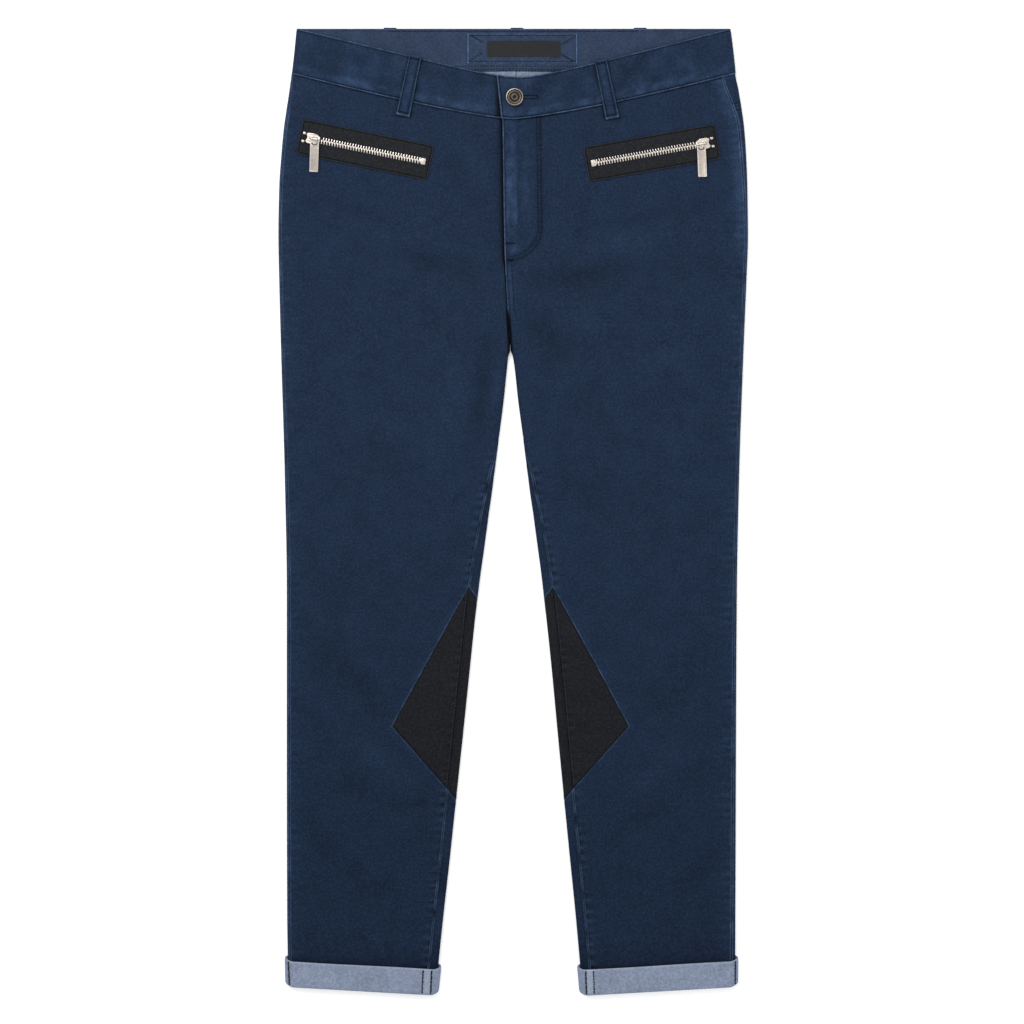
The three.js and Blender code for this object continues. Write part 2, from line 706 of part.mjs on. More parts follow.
function kiteOutlines(side) {
  const { name, sign } = side;
  const spot = (across, down) => new THREE.Vector2(innerEdge[name](down) + sign * across, toY(down));
  const { top, outer, bottom, seam, reach, edgeTop, edgeBottom, backReach } = KITE;
  const past = (a, b, margin) => {
    const t = margin / Math.abs(b[0] - a[0]);
    return spot(a[0] - Math.sign(b[0] - a[0]) * margin, a[1] - (b[1] - a[1]) * t);
  };
  const front = [
    past([seam, top], [seam + reach, outer], KITE_MARGIN),
    spot(seam + reach, outer),
    past([seam, bottom], [seam + reach, outer], KITE_MARGIN),
  ];
  const overEdge = [
    past([seam, top], [0, edgeTop], KITE_MARGIN),
    past([0, edgeTop], [seam, top], KITE_MARGIN),
    past([0, edgeBottom], [seam, bottom], KITE_MARGIN),
    past([seam, bottom], [0, edgeBottom], KITE_MARGIN),
  ];
  const under = [
    past([0, edgeTop], [backReach, outer], KITE_MARGIN),
    spot(backReach, outer),
    past([0, edgeBottom], [backReach, outer], KITE_MARGIN),
  ];
  return { front, overEdge, under };
}

const KITE_HIGH = 20;
const KITE_LOW = -5;

// A leg's panels with the kite cut out of them, and the kite's own front and back pieces.
function cutKites(side, front, back) {
  const outlines = kiteOutlines(side);
  const middle = loft(KITE.outer) / 2;
  const frontCutter = (grow) => prism(outlines.front, KITE_LOW, KITE_HIGH, grow);
  const backCutter = (grow) => {
    const upper = prism(outlines.overEdge, middle, KITE_HIGH, grow);
    return upper.add(prism(outlines.under, KITE_LOW, middle + 0.01, grow));
  };
  const [out, within] = [SEAM_GAP / 2, -SEAM_GAP / 2];
  const [frontSolid, backSolid] = [solidOf(front), solidOf(back)];
  return {
    front: geometryFrom(frontSolid.subtract(frontCutter(out))),
    back: geometryFrom(backSolid.subtract(backCutter(out))),
    frontKite: geometryFrom(frontSolid.intersect(frontCutter(within))),
    backKite: geometryFrom(backSolid.intersect(backCutter(within))),
  };
}

// ---------------------------------------------------------------- turn-ups

// Places round the leg at its hem, from under the outer edge over the top to the inner edge and
// back. Each finds its x from the leg's two edges.
function hemRound(side, height) {
  const { sign } = side;
  const q = quarter(height) + 1;
  const reach = sign * (FOLD_REACH + 1);
  const turnAtOuter = (way) => {
    const fold = foldAt(way, height);
    return { x: (outer) => outer - sign * fold.inward, fold, turn: -sign };
  };
  const turnAtInner = (way) => {
    const fold = foldAt(way, height);
    return { x: (outer, inner) => inner + sign * fold.inward, fold, turn: sign };
  };
  const flat = (t, way) => ({
    x: (outer, inner) => lerp(outer - reach, inner + reach, t),
    fold: foldAt(way, height),
    turn: -sign,
  });
  return [
    ...steps(8).map((t) => turnAtOuter(lerp(-q, q, t))),
    ...between(0, 1, 4).map((t) => flat(t, q)),
    ...steps(8).map((t) => turnAtInner(lerp(q, -q, t))),
    ...between(1, 0, 4).map((t) => flat(t, -q)),
  ];
}

function turnUp(side) {
  const { name, sign } = side;
  const height = loft(HEM.down);
  const widest = outerEdge[name](HEM.down);
  // The profile: how far outside the leg's face, and how far above the hem's fold.
  const profile = [
    [-CLOTH, HEM.round],
    [-CLOTH, HEM.lip - HEM.lipGap],
    [0, HEM.lip - HEM.lipGap],
    [HEM.gap, HEM.lip - HEM.lipGap + HEM.gap],
    [HEM.gap, HEM.turnUp],
    [HEM_LIFT, HEM.turnUp],
    [HEM_LIFT, HEM.round],
    [HEM.gap / 2, 0],
  ];
  const profileAt = ({ x, fold, turn }) => {
    const drop = HEM.slant * (widest - sign * x(sign * widest, innerEdge[name](HEM.down)));
    const rise = HEM.backRise * (1 - fold.z / height);
    return profile.map(([off, above]) => {
      const down = HEM.down + drop - above;
      const across = x(sign * outerEdge[name](down), innerEdge[name](down));
      const out = off > 0 ? off + HEM.overhang * Math.abs(fold.normal[0]) : off;
      const px = across - turn * fold.normal[0] * out;
      return new THREE.Vector3(px, toY(down) + rise, fold.z + HEM_LIFT - fold.normal[1] * off);
    });
  };
  return ring(hemRound(side, height).map(profileAt));
}

// ---------------------------------------------------------------- belt loops

// A flat strip along the cloth, with a width at each end. "under" gives the height of what it
// lies on.
function strip(top, foot, widths, thick, under, bulge, count) {
  const along = new THREE.Vector2(foot.x - top.x, toY(foot.down) - toY(top.down)).normalize();
  const across = new THREE.Vector2(-along.y, along.x);
  return wall(
    steps(count).map((t) =>
      [-1, 0, 1].map((k) => {
        const off = (k * lerp(...widths, t)) / 2;
        const x = lerp(top.x, foot.x, t) + across.x * off;
        const y = lerp(toY(top.down), toY(foot.down), t) + across.y * off;
        const low = under(x, toDown(y), t) + SEAM_GAP + bulge * Math.sin(Math.PI * t) ** 0.7;
        return sheetCell(x, y, low, thick);
      }),
    ),
  );
}

// The front's face under a loop: the band, then a soft step down to the panel.
function frontLoopBase(x, down) {
  const onPanel = smooth(waistSeam(x) + 1.5, waistSeam(x) + 5, down);
  return lerp(bandTop(x) + BAND_CROWN, frontTop(x, down), onPanel);
}

const frontLoop = (loop) =>
  strip(
    { x: loop.topX, down: waistTop(loop.topX) - LOOP.overTop },
    loop.foot,
    [LOOP.width, LOOP.footWidth],
    LOOP.thick,
    frontLoopBase,
    LOOP.bulge,
    9,
  );

const backLoop = (loop) =>
  strip(
    { x: loop.x, down: -LOOP.overTop },
    { x: loop.x, down: BACK_LOOP_FOOT },
    [LOOP.width, LOOP.width],
    LOOP.thick,
    () => -SEAM_GAP,
    0,
    6,
  );

// ---------------------------------------------------------------- fly

// A plain strip behind the fly. It follows the front's inner face at a distance.
function flyStrip({ from, to, bottom, behind, thick }) {
  return wall(
    steps(6).map((t) => {
      const down = lerp(waistSeam(0) + 3, bottom, t);
      return [from, lerp(from, to, 0.5), to].map((across) => {
        const x = centreFront(down) + across;
        const high = loft(down) - CLOTH - behind;
        return sheetCell(x, toY(down), high - thick, thick);
      });
    }),
  );
}

// ---------------------------------------------------------------- zip pockets

// Turns a place in a pocket's own frame into the garment's: "along" runs to the outer edge.
function pocketFrame(side) {
  const middle = POCKETS[side.name];
  const tilt = THREE.MathUtils.degToRad(middle.tilt);
  const along = new THREE.Vector2(side.sign * Math.cos(tilt), Math.sin(tilt));
  const up = new THREE.Vector2(-side.sign * Math.sin(tilt), Math.cos(tilt));
  const place = (a, b) => {
    const x = middle.x + along.x * a + up.x * b;
    return { x, y: toY(middle.down) + along.y * a + up.y * b };
  };
  return { place, angle: Math.atan2(along.y, along.x), along, up };
}

// A slab that follows the front's face under it, of a given outline in the pocket's frame.
function slab(side, columns, halfWidths, low, thick) {
  const { place } = pocketFrame(side);
  return wall(
    columns.map((a, i) =>
      [-1, -0.5, 0, 0.5, 1].map((k) => {
        const { x, y } = place(a, k * halfWidths[i]);
        const base = frontTop(x, toDown(y)) + low;
        return sheetCell(x, y, base, thick);
      }),
    ),
  );
}

const PATCH_TOP = SEAM_GAP + POCKET.thick;
const CHAIN_LOW = PATCH_TOP + SEAM_GAP;

function pocketPatch(side) {
  const half = POCKET.length / 2;
  const inner = half - POCKET.corner;
  const ends = [half, half - POCKET.cornerCut, inner];
  const columns = [...ends.map((a) => -a), ...between(-inner, inner, 10), ...ends.reverse()];
  const full = POCKET.width / 2;
  const halfWidths = columns.map((a) => {
    if (Math.abs(a) === half) return full - POCKET.corner;
    return Math.abs(a) > inner ? full - POCKET.cornerCut : full;
  });
  return slab(side, columns, halfWidths, SEAM_GAP, POCKET.thick);
}

function zipChain(side) {
  const to = POCKETS[side.name].slider + POCKET.chainPast;
  const columns = steps(14).map((t) => lerp(-POCKET.chainEnd, to, t));
  return slab(side, columns, columns.map(() => POCKET.chainWidth / 2), CHAIN_LOW, POCKET.chainThick);
}

// A rigid piece stands on the cloth at one place in the pocket's frame.
function onPocket(side, geometry, along, across, low) {
  const { place, angle } = pocketFrame(side);
  const { x, y } = place(along, across);
  return geometry.rotateZ(angle).translate(x, y, frontTop(x, toDown(y)) + low);
}

function stopBlock(side, along, across, { length, width }) {
  const block = new THREE.BoxGeometry(length, width, POCKET.chainThick);
  return onPocket(side, block.translate(0, 0, POCKET.chainThick / 2), along, across, CHAIN_LOW);
}
const bottomStop = (side) => stopBlock(side, -POCKET.chainEnd - BOTTOM_STOP.beyond, 0, BOTTOM_STOP);
const topStop = (side, way) =>
  stopBlock(side, POCKETS[side.name].slider + TOP_STOP.beyond, way * TOP_STOP.across, TOP_STOP);

const barAlongX = (radius, length) =>
  new THREE.CylinderGeometry(radius, radius, length, 12).rotateZ(Math.PI / 2);

// The slider: a cover plate with side walls over the chain, and a crown for the pull on top.
function slider(side) {
  const half = SLIDER.length / 2;
  const [wide, narrow] = [SLIDER.wide / 2, SLIDER.narrow / 2];
  const [shoulder, end] = [half * 0.2, wide * SLIDER.taper];
  const body = new THREE.Shape([
    new THREE.Vector2(-half, -narrow),
    new THREE.Vector2(shoulder, -wide),
    new THREE.Vector2(half, -end),
    new THREE.Vector2(half, end),
    new THREE.Vector2(shoulder, wide),
    new THREE.Vector2(-half, narrow),
  ]);
  const tall = POCKET.chainThick + SEAM_GAP + SLIDER.plate;
  const plate = new THREE.ExtrudeGeometry(body, { depth: tall, bevelEnabled: false });
  const tunnelWidth = POCKET.chainWidth + 2 * SLIDER.clear;
  const tunnel = new THREE.BoxGeometry(SLIDER.length + 2, tunnelWidth, 2 * (tall - SLIDER.plate));
  const crown = crownAbove(tall).translate([-CROWN.back, 0, 0]);
  const made = solidOf(plate).subtract(solidOf(tunnel)).add(crown);
  return onPocket(side, geometryFrom(made), POCKETS[side.name].slider, 0, CHAIN_LOW);
}

const CROWN_AXIS = POCKET.chainThick + SEAM_GAP + SLIDER.plate + CROWN.height; // above the chain's foot

function crownAbove(base) {
  const bar = solidOf(barAlongX(CROWN.bar, CROWN.span).translate(0, 0, CROWN_AXIS));
  const posts = [-1, 1].map((end) => {
    const height = CROWN_AXIS + CROWN.bar - base + 0.2;
    const post = new THREE.BoxGeometry(CROWN.post, 2 * CROWN.bar + 0.4, height);
    return solidOf(post.translate((end * (CROWN.span - CROWN.post)) / 2, 0, base - 0.2 + height / 2));
  });
  return posts.reduce((sum, post) => sum.add(post), bar);
}

// The pull hangs from the crown's bar by a rolled eye. Its tab is turned in its own plane, so that
// it lies nearly straight down the leg although the bar is tilted with the zip.
function pull(side) {
  const [half, neck, corner] = [PULL.width / 2, PULL.neck / 2, PULL.corner];
  const start = -PULL.eye * 0.6;
  const shape = new THREE.Shape();
  shape.moveTo(-neck, start);
  shape.lineTo(-neck, -PULL.neckEnd);
  shape.lineTo(-half, -PULL.shoulder);
  shape.lineTo(-half, -PULL.length + corner);
  shape.lineTo(-half + corner, -PULL.length);
  shape.lineTo(half - corner, -PULL.length);
  shape.lineTo(half, -PULL.length + corner);
  shape.lineTo(half, -PULL.shoulder);
  shape.lineTo(neck, -PULL.neckEnd);
  shape.lineTo(neck, start);
  const hole = new THREE.Path();
  hole.absarc(0, -PULL.holeDown, PULL.hole, 0, 2 * Math.PI, true);
  shape.holes.push(hole);
  const options = { depth: PULL.thick, bevelEnabled: false, curveSegments: 6 };
  const tab = new THREE.ExtrudeGeometry(shape, options);
  const turn = THREE.MathUtils.degToRad((POCKETS[side.name].tilt - PULL.lean) * -side.sign);
  const tabSolid = solidOf(tab.translate(0, 0, -PULL.thick / 2).rotateZ(turn));
  const knuckle = solidOf(barAlongX(PULL.eye, PULL.knuckle));
  const bore = solidOf(barAlongX(PULL.bore, PULL.knuckle + 2));
  return geometryFrom(tabSolid.add(knuckle).subtract(bore));
}

const pullAxis = (side) => {
  const { place, along } = pocketFrame(side);
  const { x, y } = place(POCKETS[side.name].slider - CROWN.back, 0);
  const z = frontTop(x, toDown(y)) + CHAIN_LOW + CROWN_AXIS;
  return { origin: new THREE.Vector3(x, y, z), along };
};

// ---------------------------------------------------------------- button and label

function button() {
  const { radius, rim, height, shank } = BUTTON;
  const profile = [
    [0, 0],
    [shank, 0],
    [shank, 1],
    [radius - 0.8, 1],
    [radius, 1.6],
    [radius, height - 0.5],
    [radius - rim * 0.5, height],
    [radius - rim * 1.4, height - 0.3],
    [radius - rim * 2, height - 0.9],
    [radius * 0.45, height - 0.6],
    [radius * 0.22, height - 1],
    [0, height - 1.1],
  ];
  const lathe = new THREE.LatheGeometry(profile.map(([r, z]) => new THREE.Vector2(r, z)), 28);
  const foot = bandTop(BUTTON.x) + BAND_CROWN + SEAM_GAP;
  return lathe.rotateX(Math.PI / 2).translate(BUTTON.x, toY(BUTTON.down), foot);
}

// A flat piece sewn on the inside of the back of the waistband.
function insideLabel({ x, down, width, height, thick }, low) {
  const columns = steps(6).map((t) => x - width / 2 + width * t);
  return wall(
    columns.map((px) =>
      [down - height / 2, down, down + height / 2].map((pd) => {
        const base = BAND_CLOTH + loopLift(pd) + low;
        return sheetCell(px, toY(pd), base, thick);
      }),
    ),
  );
}

// ---------------------------------------------------------------- the jeans

const jeans = new THREE.Group();

function add(name, geometry, material) {
  const mesh = new THREE.Mesh(geometry, material);
  mesh.name = name;
  jeans.add(mesh);
  return mesh;
}

for (const side of SIDES) {
  const cut = cutKites(side, frontPanel(side), backPanel(side));
  add(`front_${side.name}`, cut.front, MATERIALS.navy);
  add(`back_${side.name}`, cut.back, MATERIALS.navy);
  add(`knee_kite_front_${side.name}`, cut.frontKite, MATERIALS.black);
  add(`knee_kite_back_${side.name}`, cut.backKite, MATERIALS.black);
  add(`yoke_${side.name}`, yoke(side), MATERIALS.navy);
  add(`waistband_${side.name}`, waistband(side), MATERIALS.navy);
  add(`turn_up_${side.name}`, turnUp(side), MATERIALS.wrongSide);
  add(`zip_patch_${side.name}`, pocketPatch(side), MATERIALS.black);
  add(`zip_chain_${side.name}`, zipChain(side), MATERIALS.nickel);
  add(`zip_bottom_stop_${side.name}`, bottomStop(side), MATERIALS.nickel);
  add(`zip_top_stop_upper_${side.name}`, topStop(side, 1), MATERIALS.nickel);
  add(`zip_top_stop_lower_${side.name}`, topStop(side, -1), MATERIALS.nickel);
  add(`slider_${side.name}`, slider(side), MATERIALS.nickel);
  const axis = pullAxis(side);
  const hanging = add(`pull_${side.name}`, pull(side), MATERIALS.nickel);
  hanging.rotation.order = "ZYX";
  hanging.rotation.x = THREE.MathUtils.degToRad(PULL.droop);
  hanging.rotation.z = Math.atan2(axis.along.y * side.sign, axis.along.x * side.sign);
  hanging.position.copy(axis.origin);
}

FRONT_LOOPS.forEach((loop) => add(loop.name, frontLoop(loop), MATERIALS.navy));
BACK_LOOPS.forEach((loop) => add(loop.name, backLoop(loop), MATERIALS.navy));
add("fly_zip", flyStrip(FLY_ZIP), MATERIALS.black);
add("fly_shield", flyStrip(FLY_SHIELD), MATERIALS.navy);
add("button", button(), MATERIALS.gunmetal);
add("label_patch", insideLabel(LABEL_PATCH, SEAM_GAP), MATERIALS.navy);
add("label", insideLabel(LABEL, 2 * SEAM_GAP + LABEL_PATCH.thick), MATERIALS.label);
add("size_tab", insideLabel(SIZE_TAB, 2 * SEAM_GAP + LABEL_PATCH.thick), MATERIALS.label);

export default jeans;
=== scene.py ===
import json
import math

import bmesh
import bpy
import numpy as np
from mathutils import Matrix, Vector


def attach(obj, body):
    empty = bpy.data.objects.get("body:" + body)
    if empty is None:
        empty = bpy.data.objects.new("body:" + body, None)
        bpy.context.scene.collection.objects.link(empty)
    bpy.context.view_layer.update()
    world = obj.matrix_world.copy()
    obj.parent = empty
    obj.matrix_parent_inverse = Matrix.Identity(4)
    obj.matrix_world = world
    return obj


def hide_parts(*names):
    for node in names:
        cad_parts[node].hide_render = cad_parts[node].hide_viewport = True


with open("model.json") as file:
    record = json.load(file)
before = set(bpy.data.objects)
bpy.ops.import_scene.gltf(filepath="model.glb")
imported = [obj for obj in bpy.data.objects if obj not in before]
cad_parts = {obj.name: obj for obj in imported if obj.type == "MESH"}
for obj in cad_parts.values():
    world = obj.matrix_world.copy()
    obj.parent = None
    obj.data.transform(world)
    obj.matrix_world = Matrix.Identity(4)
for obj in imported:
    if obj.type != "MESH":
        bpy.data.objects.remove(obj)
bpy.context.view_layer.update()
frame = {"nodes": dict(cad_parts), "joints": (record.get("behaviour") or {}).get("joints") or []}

# Coated jeans laid flat on their back, dressed over their solids. Lengths here are millimetres in
# the part's frame: +X is the wearer's left, +Y the waist, +Z up. "down" is the distance below the
# waist. Meshes are written in metres.
MM = 0.001


# ------------------------------------------------------------------ sizes of the solids
def table(columns, *rows):
    """A short table as {column: its values}."""
    return dict(zip(columns.split(), np.array(rows, float).T))


MIDDLE = 463  # from the waist down to the frame's origin
SIGN = {"right": -1, "left": 1}
SIDES = ("right", "left")
FORK = 310  # from the waist down to where the legs part
CREVICE = 56  # over this length above the fork the front seam sinks between the thighs
BACK_TURN = 16  # the same for the back seam
FOLD = 6  # how far in the round of a fold reaches
CLOTH = 1.15
BAND_CLOTH = 2.2

# How far out each leg's outer edge is, and where its inner edge is across the garment.
OUTER_EDGE = table(
    "down right left",
    (0, 207.6, 208.8),
    (28, 210.4, 212.2),
    (43.6, 212.4, 213.8),
    (68, 215.8, 218),
    (97, 220, 222),
    (126, 222.6, 224),
    (150, 224.2, 224.8),
    (198, 225.1, 225.5),
    (241, 224.3, 224),
    (313, 222.4, 221),
    (428, 219, 217),
    (543, 217, 214.8),
    (687, 217, 214),
    (846, 216.7, 213.4),
    (926, 215.3, 213),
)
INNER_EDGE = table(
    "down right left",
    (310, -2.55, -2.25),
    (313, -4.2, -0.6),
    (327, -5.8, 1.7),
    (356, -8.8, 4.8),
    (385, -12.5, 8.7),
    (443, -20.2, 16.3),
    (500, -27.8, 24),
    (558, -35.3, 31),
    (615, -41.3, 37),
    (673, -47.3, 42.4),
    (731, -53.5, 48),
    (788, -59.5, 53.6),
    (846, -65.8, 59.3),
    (926, -74, 66.4),
)
# The seams down the middle, across the garment.
CENTRE_FRONT = table(
    "down x",
    (0, -12.5),
    (88, -10.4),
    (206, -8.5),
    (260, -6),
    (290, -3.6),
    (FORK, -2.4),
)
CENTRE_BACK = {"waist": 3.8, "fork": -2.4}
# How far in from the outer fold the side seam lies, and from the inner fold the inside-leg seam. They
# are on the front where that is positive.
SIDE_INSET = table(
    "down right left",
    (0, 0.8, 13.5),
    (45, 0.8, 12.5),
    (68, 1.5, 8.7),
    (90, 2, 5.4),
    (125, 2, 4.6),
    (170, 2, 2.8),
    (330, 2, 2),
    (500, 2.4, 2.4),
    (926, 2.4, 3.8),
)
INSEAM_INSET = table(
    "down inset",
    (FORK, 0),
    (335, -1.6),
    (375, -1),
    (396, 0.3),
    (440, 5.4),
    (488, 8.2),
    (540, 9.6),
    (926, 9.4),
)
# The height of the two layers with what is between them.
LOFT = table("down height", (0, 6.3), (310, 6.3), (520, 6), (926, 5.6))

# The front's top edge, and the band's lower seam: at the side, how much lower in the middle, its curve.
TOP_EDGE = {"slope": 0.25, "round": 6, "shift": 4}
BAND_SEAM = {"side": 43.6, "drop": 43.9, "power": 1.27}
BACK_BAND = 41
YOKE = {"side": 71, "centre": 101}
# The hem: its fold at the outer edge, how it slants down inwards, how much higher its back is, the
# turn-up's height, and how far the leg ends above the fold. Then the turn-up's gap and its overhang.
HEM = {"down": 919.2, "slant": 0.057, "rise": 7, "turn_up": 25, "lip": 4, "gap": 0.6, "over": 1.2}
HEM_LIFT = HEM["gap"] + 1.2
BACK_LIFT = 1.8
BACK_LOOP_FOOT = 53
BAND_LOFT = 7.2
BAND_CROWN = 0.35
LAP = {"rise": 1.4, "sink": 1.2, "middle": 10, "from": 38, "to": 78}
BAND_END = {"left": (-16, -11.5), "right": (22, 22)}
# The fly: the J's width, where it starts to bend and ends, the facing's relief, and its lap.
FLY = {"width": 36.5, "straight": 190, "bottom": 224, "relief": 0.5, "lap": 0.8, "lap_width": 9}
# The kite: its ends and its outer corner down the leg, the inside-leg seam's inset, and its reach from
# it. Then where the inner fold cuts its back, and the back's reach.
KITE = {"top": 536, "outer": 669, "bottom": 729, "seam": 9.6, "reach": 59}
KITE_EDGE = {"top": 551, "bottom": 741, "back_reach": 46}
# A pocket's patch, and how far from its middle the zip ends.
POCKET = {"length": 128.5, "width": 34.3, "corner": 3.4, "end": 54.4}
# Where its middle lies, x and down, its tilt, and the slider's distance from its middle.
POCKETS = {"right": (-141.9, 116.3, 11.5, 50.9), "left": (133.3, 119.5, 10, 49.7)}
LOOP = {"width": 12, "foot": 13.6, "thick": 1.5, "over_top": 1.2, "bulge": 1}
# A front loop's x at the top edge, then its foot's x and down, and the back loops' x.
FRONT_LOOPS = {"right": (-93.3, (-105.7, 84)), "left": (83.8, (95.5, 86.5))}
BACK_LOOPS = {"right": -118, "centre": 3.8, "left": 122}
BUTTON = {"x": 1.5, "down": 66, "radius": 8.5, "height": 3}
LABEL_PATCH = {"x": 9, "down": 19.2, "width": 105.5, "height": 28.8, "thick": 0.7}
LABEL = {"x": 4.5, "down": 19.6, "width": 58.7, "height": 15.4, "thick": 0.5}
SIZE_TAB = {"x": 40, "down": 19.9, "width": 11.4, "height": 16.2, "thick": 0.5}

# Soft troughs (negative) and ridges of the front: ends, half width and height.
CREASES = table(
    "x1 down1 x2 down2 width height",
    (-124, 213, -18, 238, 10, -0.85),
    (-112, 200, -26, 220, 9, 0.3),
    (6, 247, 122, 227, 10, -1.15),
    (96, 231, 222, 227, 13, -0.5),
    (62, 214, 160, 196, 12, 0.4),
    (70, 193, 212, 164, 8, -0.5),
    (11, 268, 62, 332, 11, -0.95),
    (40, 262, 92, 292, 9, 0.3),
    (-20, 276, -37, 410, 8, -1),
    (-9, 296, -25, 400, 5, 0.35),
    (-84, 92, -22, 186, 7, -0.45),
    (-62, 96, -16, 156, 6, 0.3),
    (-44, 92, -18, 128, 5, -0.35),
    (-198, 161, -116, 185, 9, -0.4),
    (48, 346, 100, 380, 15, -0.5),
    (40, 432, 96, 460, 15, -0.5),
    (-54, 300, -68, 424, 14, 0.3),
    (-176, 400, -96, 428, 18, -0.35),
    (190, 300, 108, 330, 16, 0.3),
    (196, 470, 118, 506, 18, -0.35),
    (-202, 572, -112, 668, 13, -0.7),
    (-156, 678, -98, 728, 10, 0.5),
    (-168, 712, -112, 752, 9, -0.55),
    (-120, 753, -72, 733, 9, -0.55),
    (-206, 746, -164, 806, 10, -0.5),
    (-170, 802, -120, 836, 11, -0.5),
    (204, 588, 122, 670, 14, -0.5),
    (164, 690, 100, 738, 11, 0.4),
    (174, 738, 98, 766, 10, -0.5),
    (208, 786, 148, 834, 12, -0.45),
)
# Troughs of the back, which is flat on the floor between them.
BACK_CREASES = table(
    "x1 down1 x2 down2 width height",
    (-30, 262, -196, 226, 10, -0.45),
    (34, 266, 190, 232, 11, -0.45),
    (-40, 318, -150, 286, 9, -0.4),
    (40, 310, 162, 282, 9, -0.4),
    (-66, 628, -186, 596, 10, -0.4),
    (-70, 680, -196, 664, 12, -0.45),
    (70, 634, 190, 602, 11, -0.4),
    (68, 690, 180, 672, 10, -0.45),
    (-196, 800, -110, 776, 12, -0.35),
    (196, 812, 112, 780, 12, -0.35),
)


# ------------------------------------------------------------------ mathematics
def lerp(a, b, t):
    return a + (b - a) * t


def smooth(a, b, x):
    t = np.clip((np.asarray(x, float) - a) / (b - a), 0, 1)
    return t * t * (3 - 2 * t)


def falling(a, b, x):
    return 1 - smooth(a, b, x)


def bell(x, width):
    return np.exp(-((np.asarray(x, float) / width) ** 2))


def hump(first, full, fading, last, x):
    """Rises from 0 to 1 between two places, and falls back to 0 between two more."""
    return smooth(first, full, x) * falling(fading, last, x)


def together(*values):
    return np.broadcast_arrays(*(np.asarray(v, float) for v in values))


def unit(vectors):
    return vectors / np.maximum(np.linalg.norm(vectors, axis=-1, keepdims=True), 1e-9)


def curve(rows, column):
    """A smooth curve through one column of a table, with no overshoot between its rows."""
    x, y = rows["down"], rows[column]
    slope = np.diff(y) / np.diff(x)
    inside = slope[:-1] * slope[1:]
    both = np.where(inside > 0, slope[:-1] + slope[1:], 1)
    tangent = np.concatenate([slope[:1], np.where(inside > 0, 2 * inside / both, 0), slope[-1:]])

    def at(down):
        down = np.asarray(down, float)
        i = np.clip(np.searchsorted(x, down, side="right") - 1, 0, len(x) - 2)
        h = x[i + 1] - x[i]
        t = np.clip((down - x[i]) / h, 0, 1)
        return (
            (2 * t**3 - 3 * t**2 + 1) * y[i]
            + (t**3 - 2 * t**2 + t) * h * tangent[i]
            + (3 * t**2 - 2 * t**3) * y[i + 1]
            + (t**3 - t**2) * h * tangent[i + 1]
        )

    return at


outer_edge = {side: curve(OUTER_EDGE, side) for side in SIDES}
inner_edge = {side: curve(INNER_EDGE, side) for side in SIDES}
side_inset = {side: curve(SIDE_INSET, side) for side in SIDES}
centre_front = curve(CENTRE_FRONT, "x")
inseam_inset = curve(INSEAM_INSET, "inset")
loft = curve(LOFT, "height")


def centre_back(down):
    return lerp(CENTRE_BACK["waist"], CENTRE_BACK["fork"], np.clip(down / FORK, 0, 1))


def outward(x, down):
    """How far out a place lies: 0 in the middle, 1 at the outer edge that the garment has there."""
    x = np.asarray(x, float)
    return np.abs(x) / np.where(x < 0, outer_edge["right"](down), outer_edge["left"](down))


def top_edge(x):
    """How far below the waist the front's top edge lies. It slopes down to the fly."""
    x = np.asarray(x, float)
    half = np.where(x < 0, outer_edge["right"](0), outer_edge["left"](0))
    shifted = x - TOP_EDGE["shift"] * (1 - (x / half) ** 2)
    slope, rounding = TOP_EDGE["slope"], TOP_EDGE["round"]
    return np.hypot(slope * half, rounding) - np.hypot(slope * shifted, rounding)


def band_seam(x):
    """How far below the waist the band's lower seam lies on the front."""
    middle = 1 - outward(x, BAND_SEAM["side"]) ** BAND_SEAM["power"]
    return BAND_SEAM["side"] + BAND_SEAM["drop"] * middle


def back_seam(x):
    return lerp(BACK_BAND, BAND_SEAM["side"], np.clip(outward(x, BAND_SEAM["side"]), 0, 1))


def yoke_seam(x):
    return lerp(YOKE["centre"], YOKE["side"], np.clip(outward(x, YOKE["side"]), 0, 1))


def to_y(down):
    return MIDDLE - down


def points_at(x, down, z):
    return np.stack([x, to_y(down), z], -1)


def upward(points):
    return np.broadcast_to([0.0, 0, 1], points.shape)


RIPPLE_WAVES = 7
RIPPLE_HEIGHT = 3.2


def ripple(seed, x, y, size):
    """Smooth uneven waves of about -1 to 1, the same on each run."""
    draw = np.random.default_rng(seed)
    total = 0
    for _ in range(RIPPLE_WAVES):
        angle = draw.uniform(0, 2 * math.pi)
        length = size * draw.uniform(0.6, 1.7)
        phase = draw.uniform(0, 2 * math.pi)
        along = x * math.cos(angle) + y * math.sin(angle)
        total = total + np.sin(along * 2 * math.pi / length + phase)
    return total / RIPPLE_HEIGHT


# ------------------------------------------------------------------ the cloth's section
def quarter(height):
    """The cloth's length round a quarter of a fold."""
    return math.pi / 4 * (FOLD + height / 2)


def fold_at(way, height):
    """Half an ellipse, then flat: how far in, how high, and the normal into the cloth."""
    q = quarter(height)
    angle = np.clip(way / q, -1, 1) * math.pi / 2
    past = np.maximum(np.abs(way) - q, 0)
    nx, nz = np.cos(angle) / FOLD, -np.sin(angle) / (height / 2)
    size = np.hypot(nx, nz)
    return FOLD * (1 - np.cos(angle)) + past, height / 2 * (1 + np.sin(angle)), nx / size, nz / size


def way_of(inset, height):
    """The way along the cloth to a place that lies this far in from the fold."""
    q = quarter(height)
    size = np.abs(inset)
    turn = q * np.arccos(np.clip(1 - size / FOLD, -1, 1)) / (math.pi / 2)
    return np.sign(inset) * np.where(size > FOLD, q + size - FOLD, turn)


def hem_lift(down):
    """How far the turn-up's lower layer lifts the leg that lies in it."""
    return HEM_LIFT * smooth(HEM["down"] - 82, HEM["down"] - HEM["turn_up"] - 4, down)


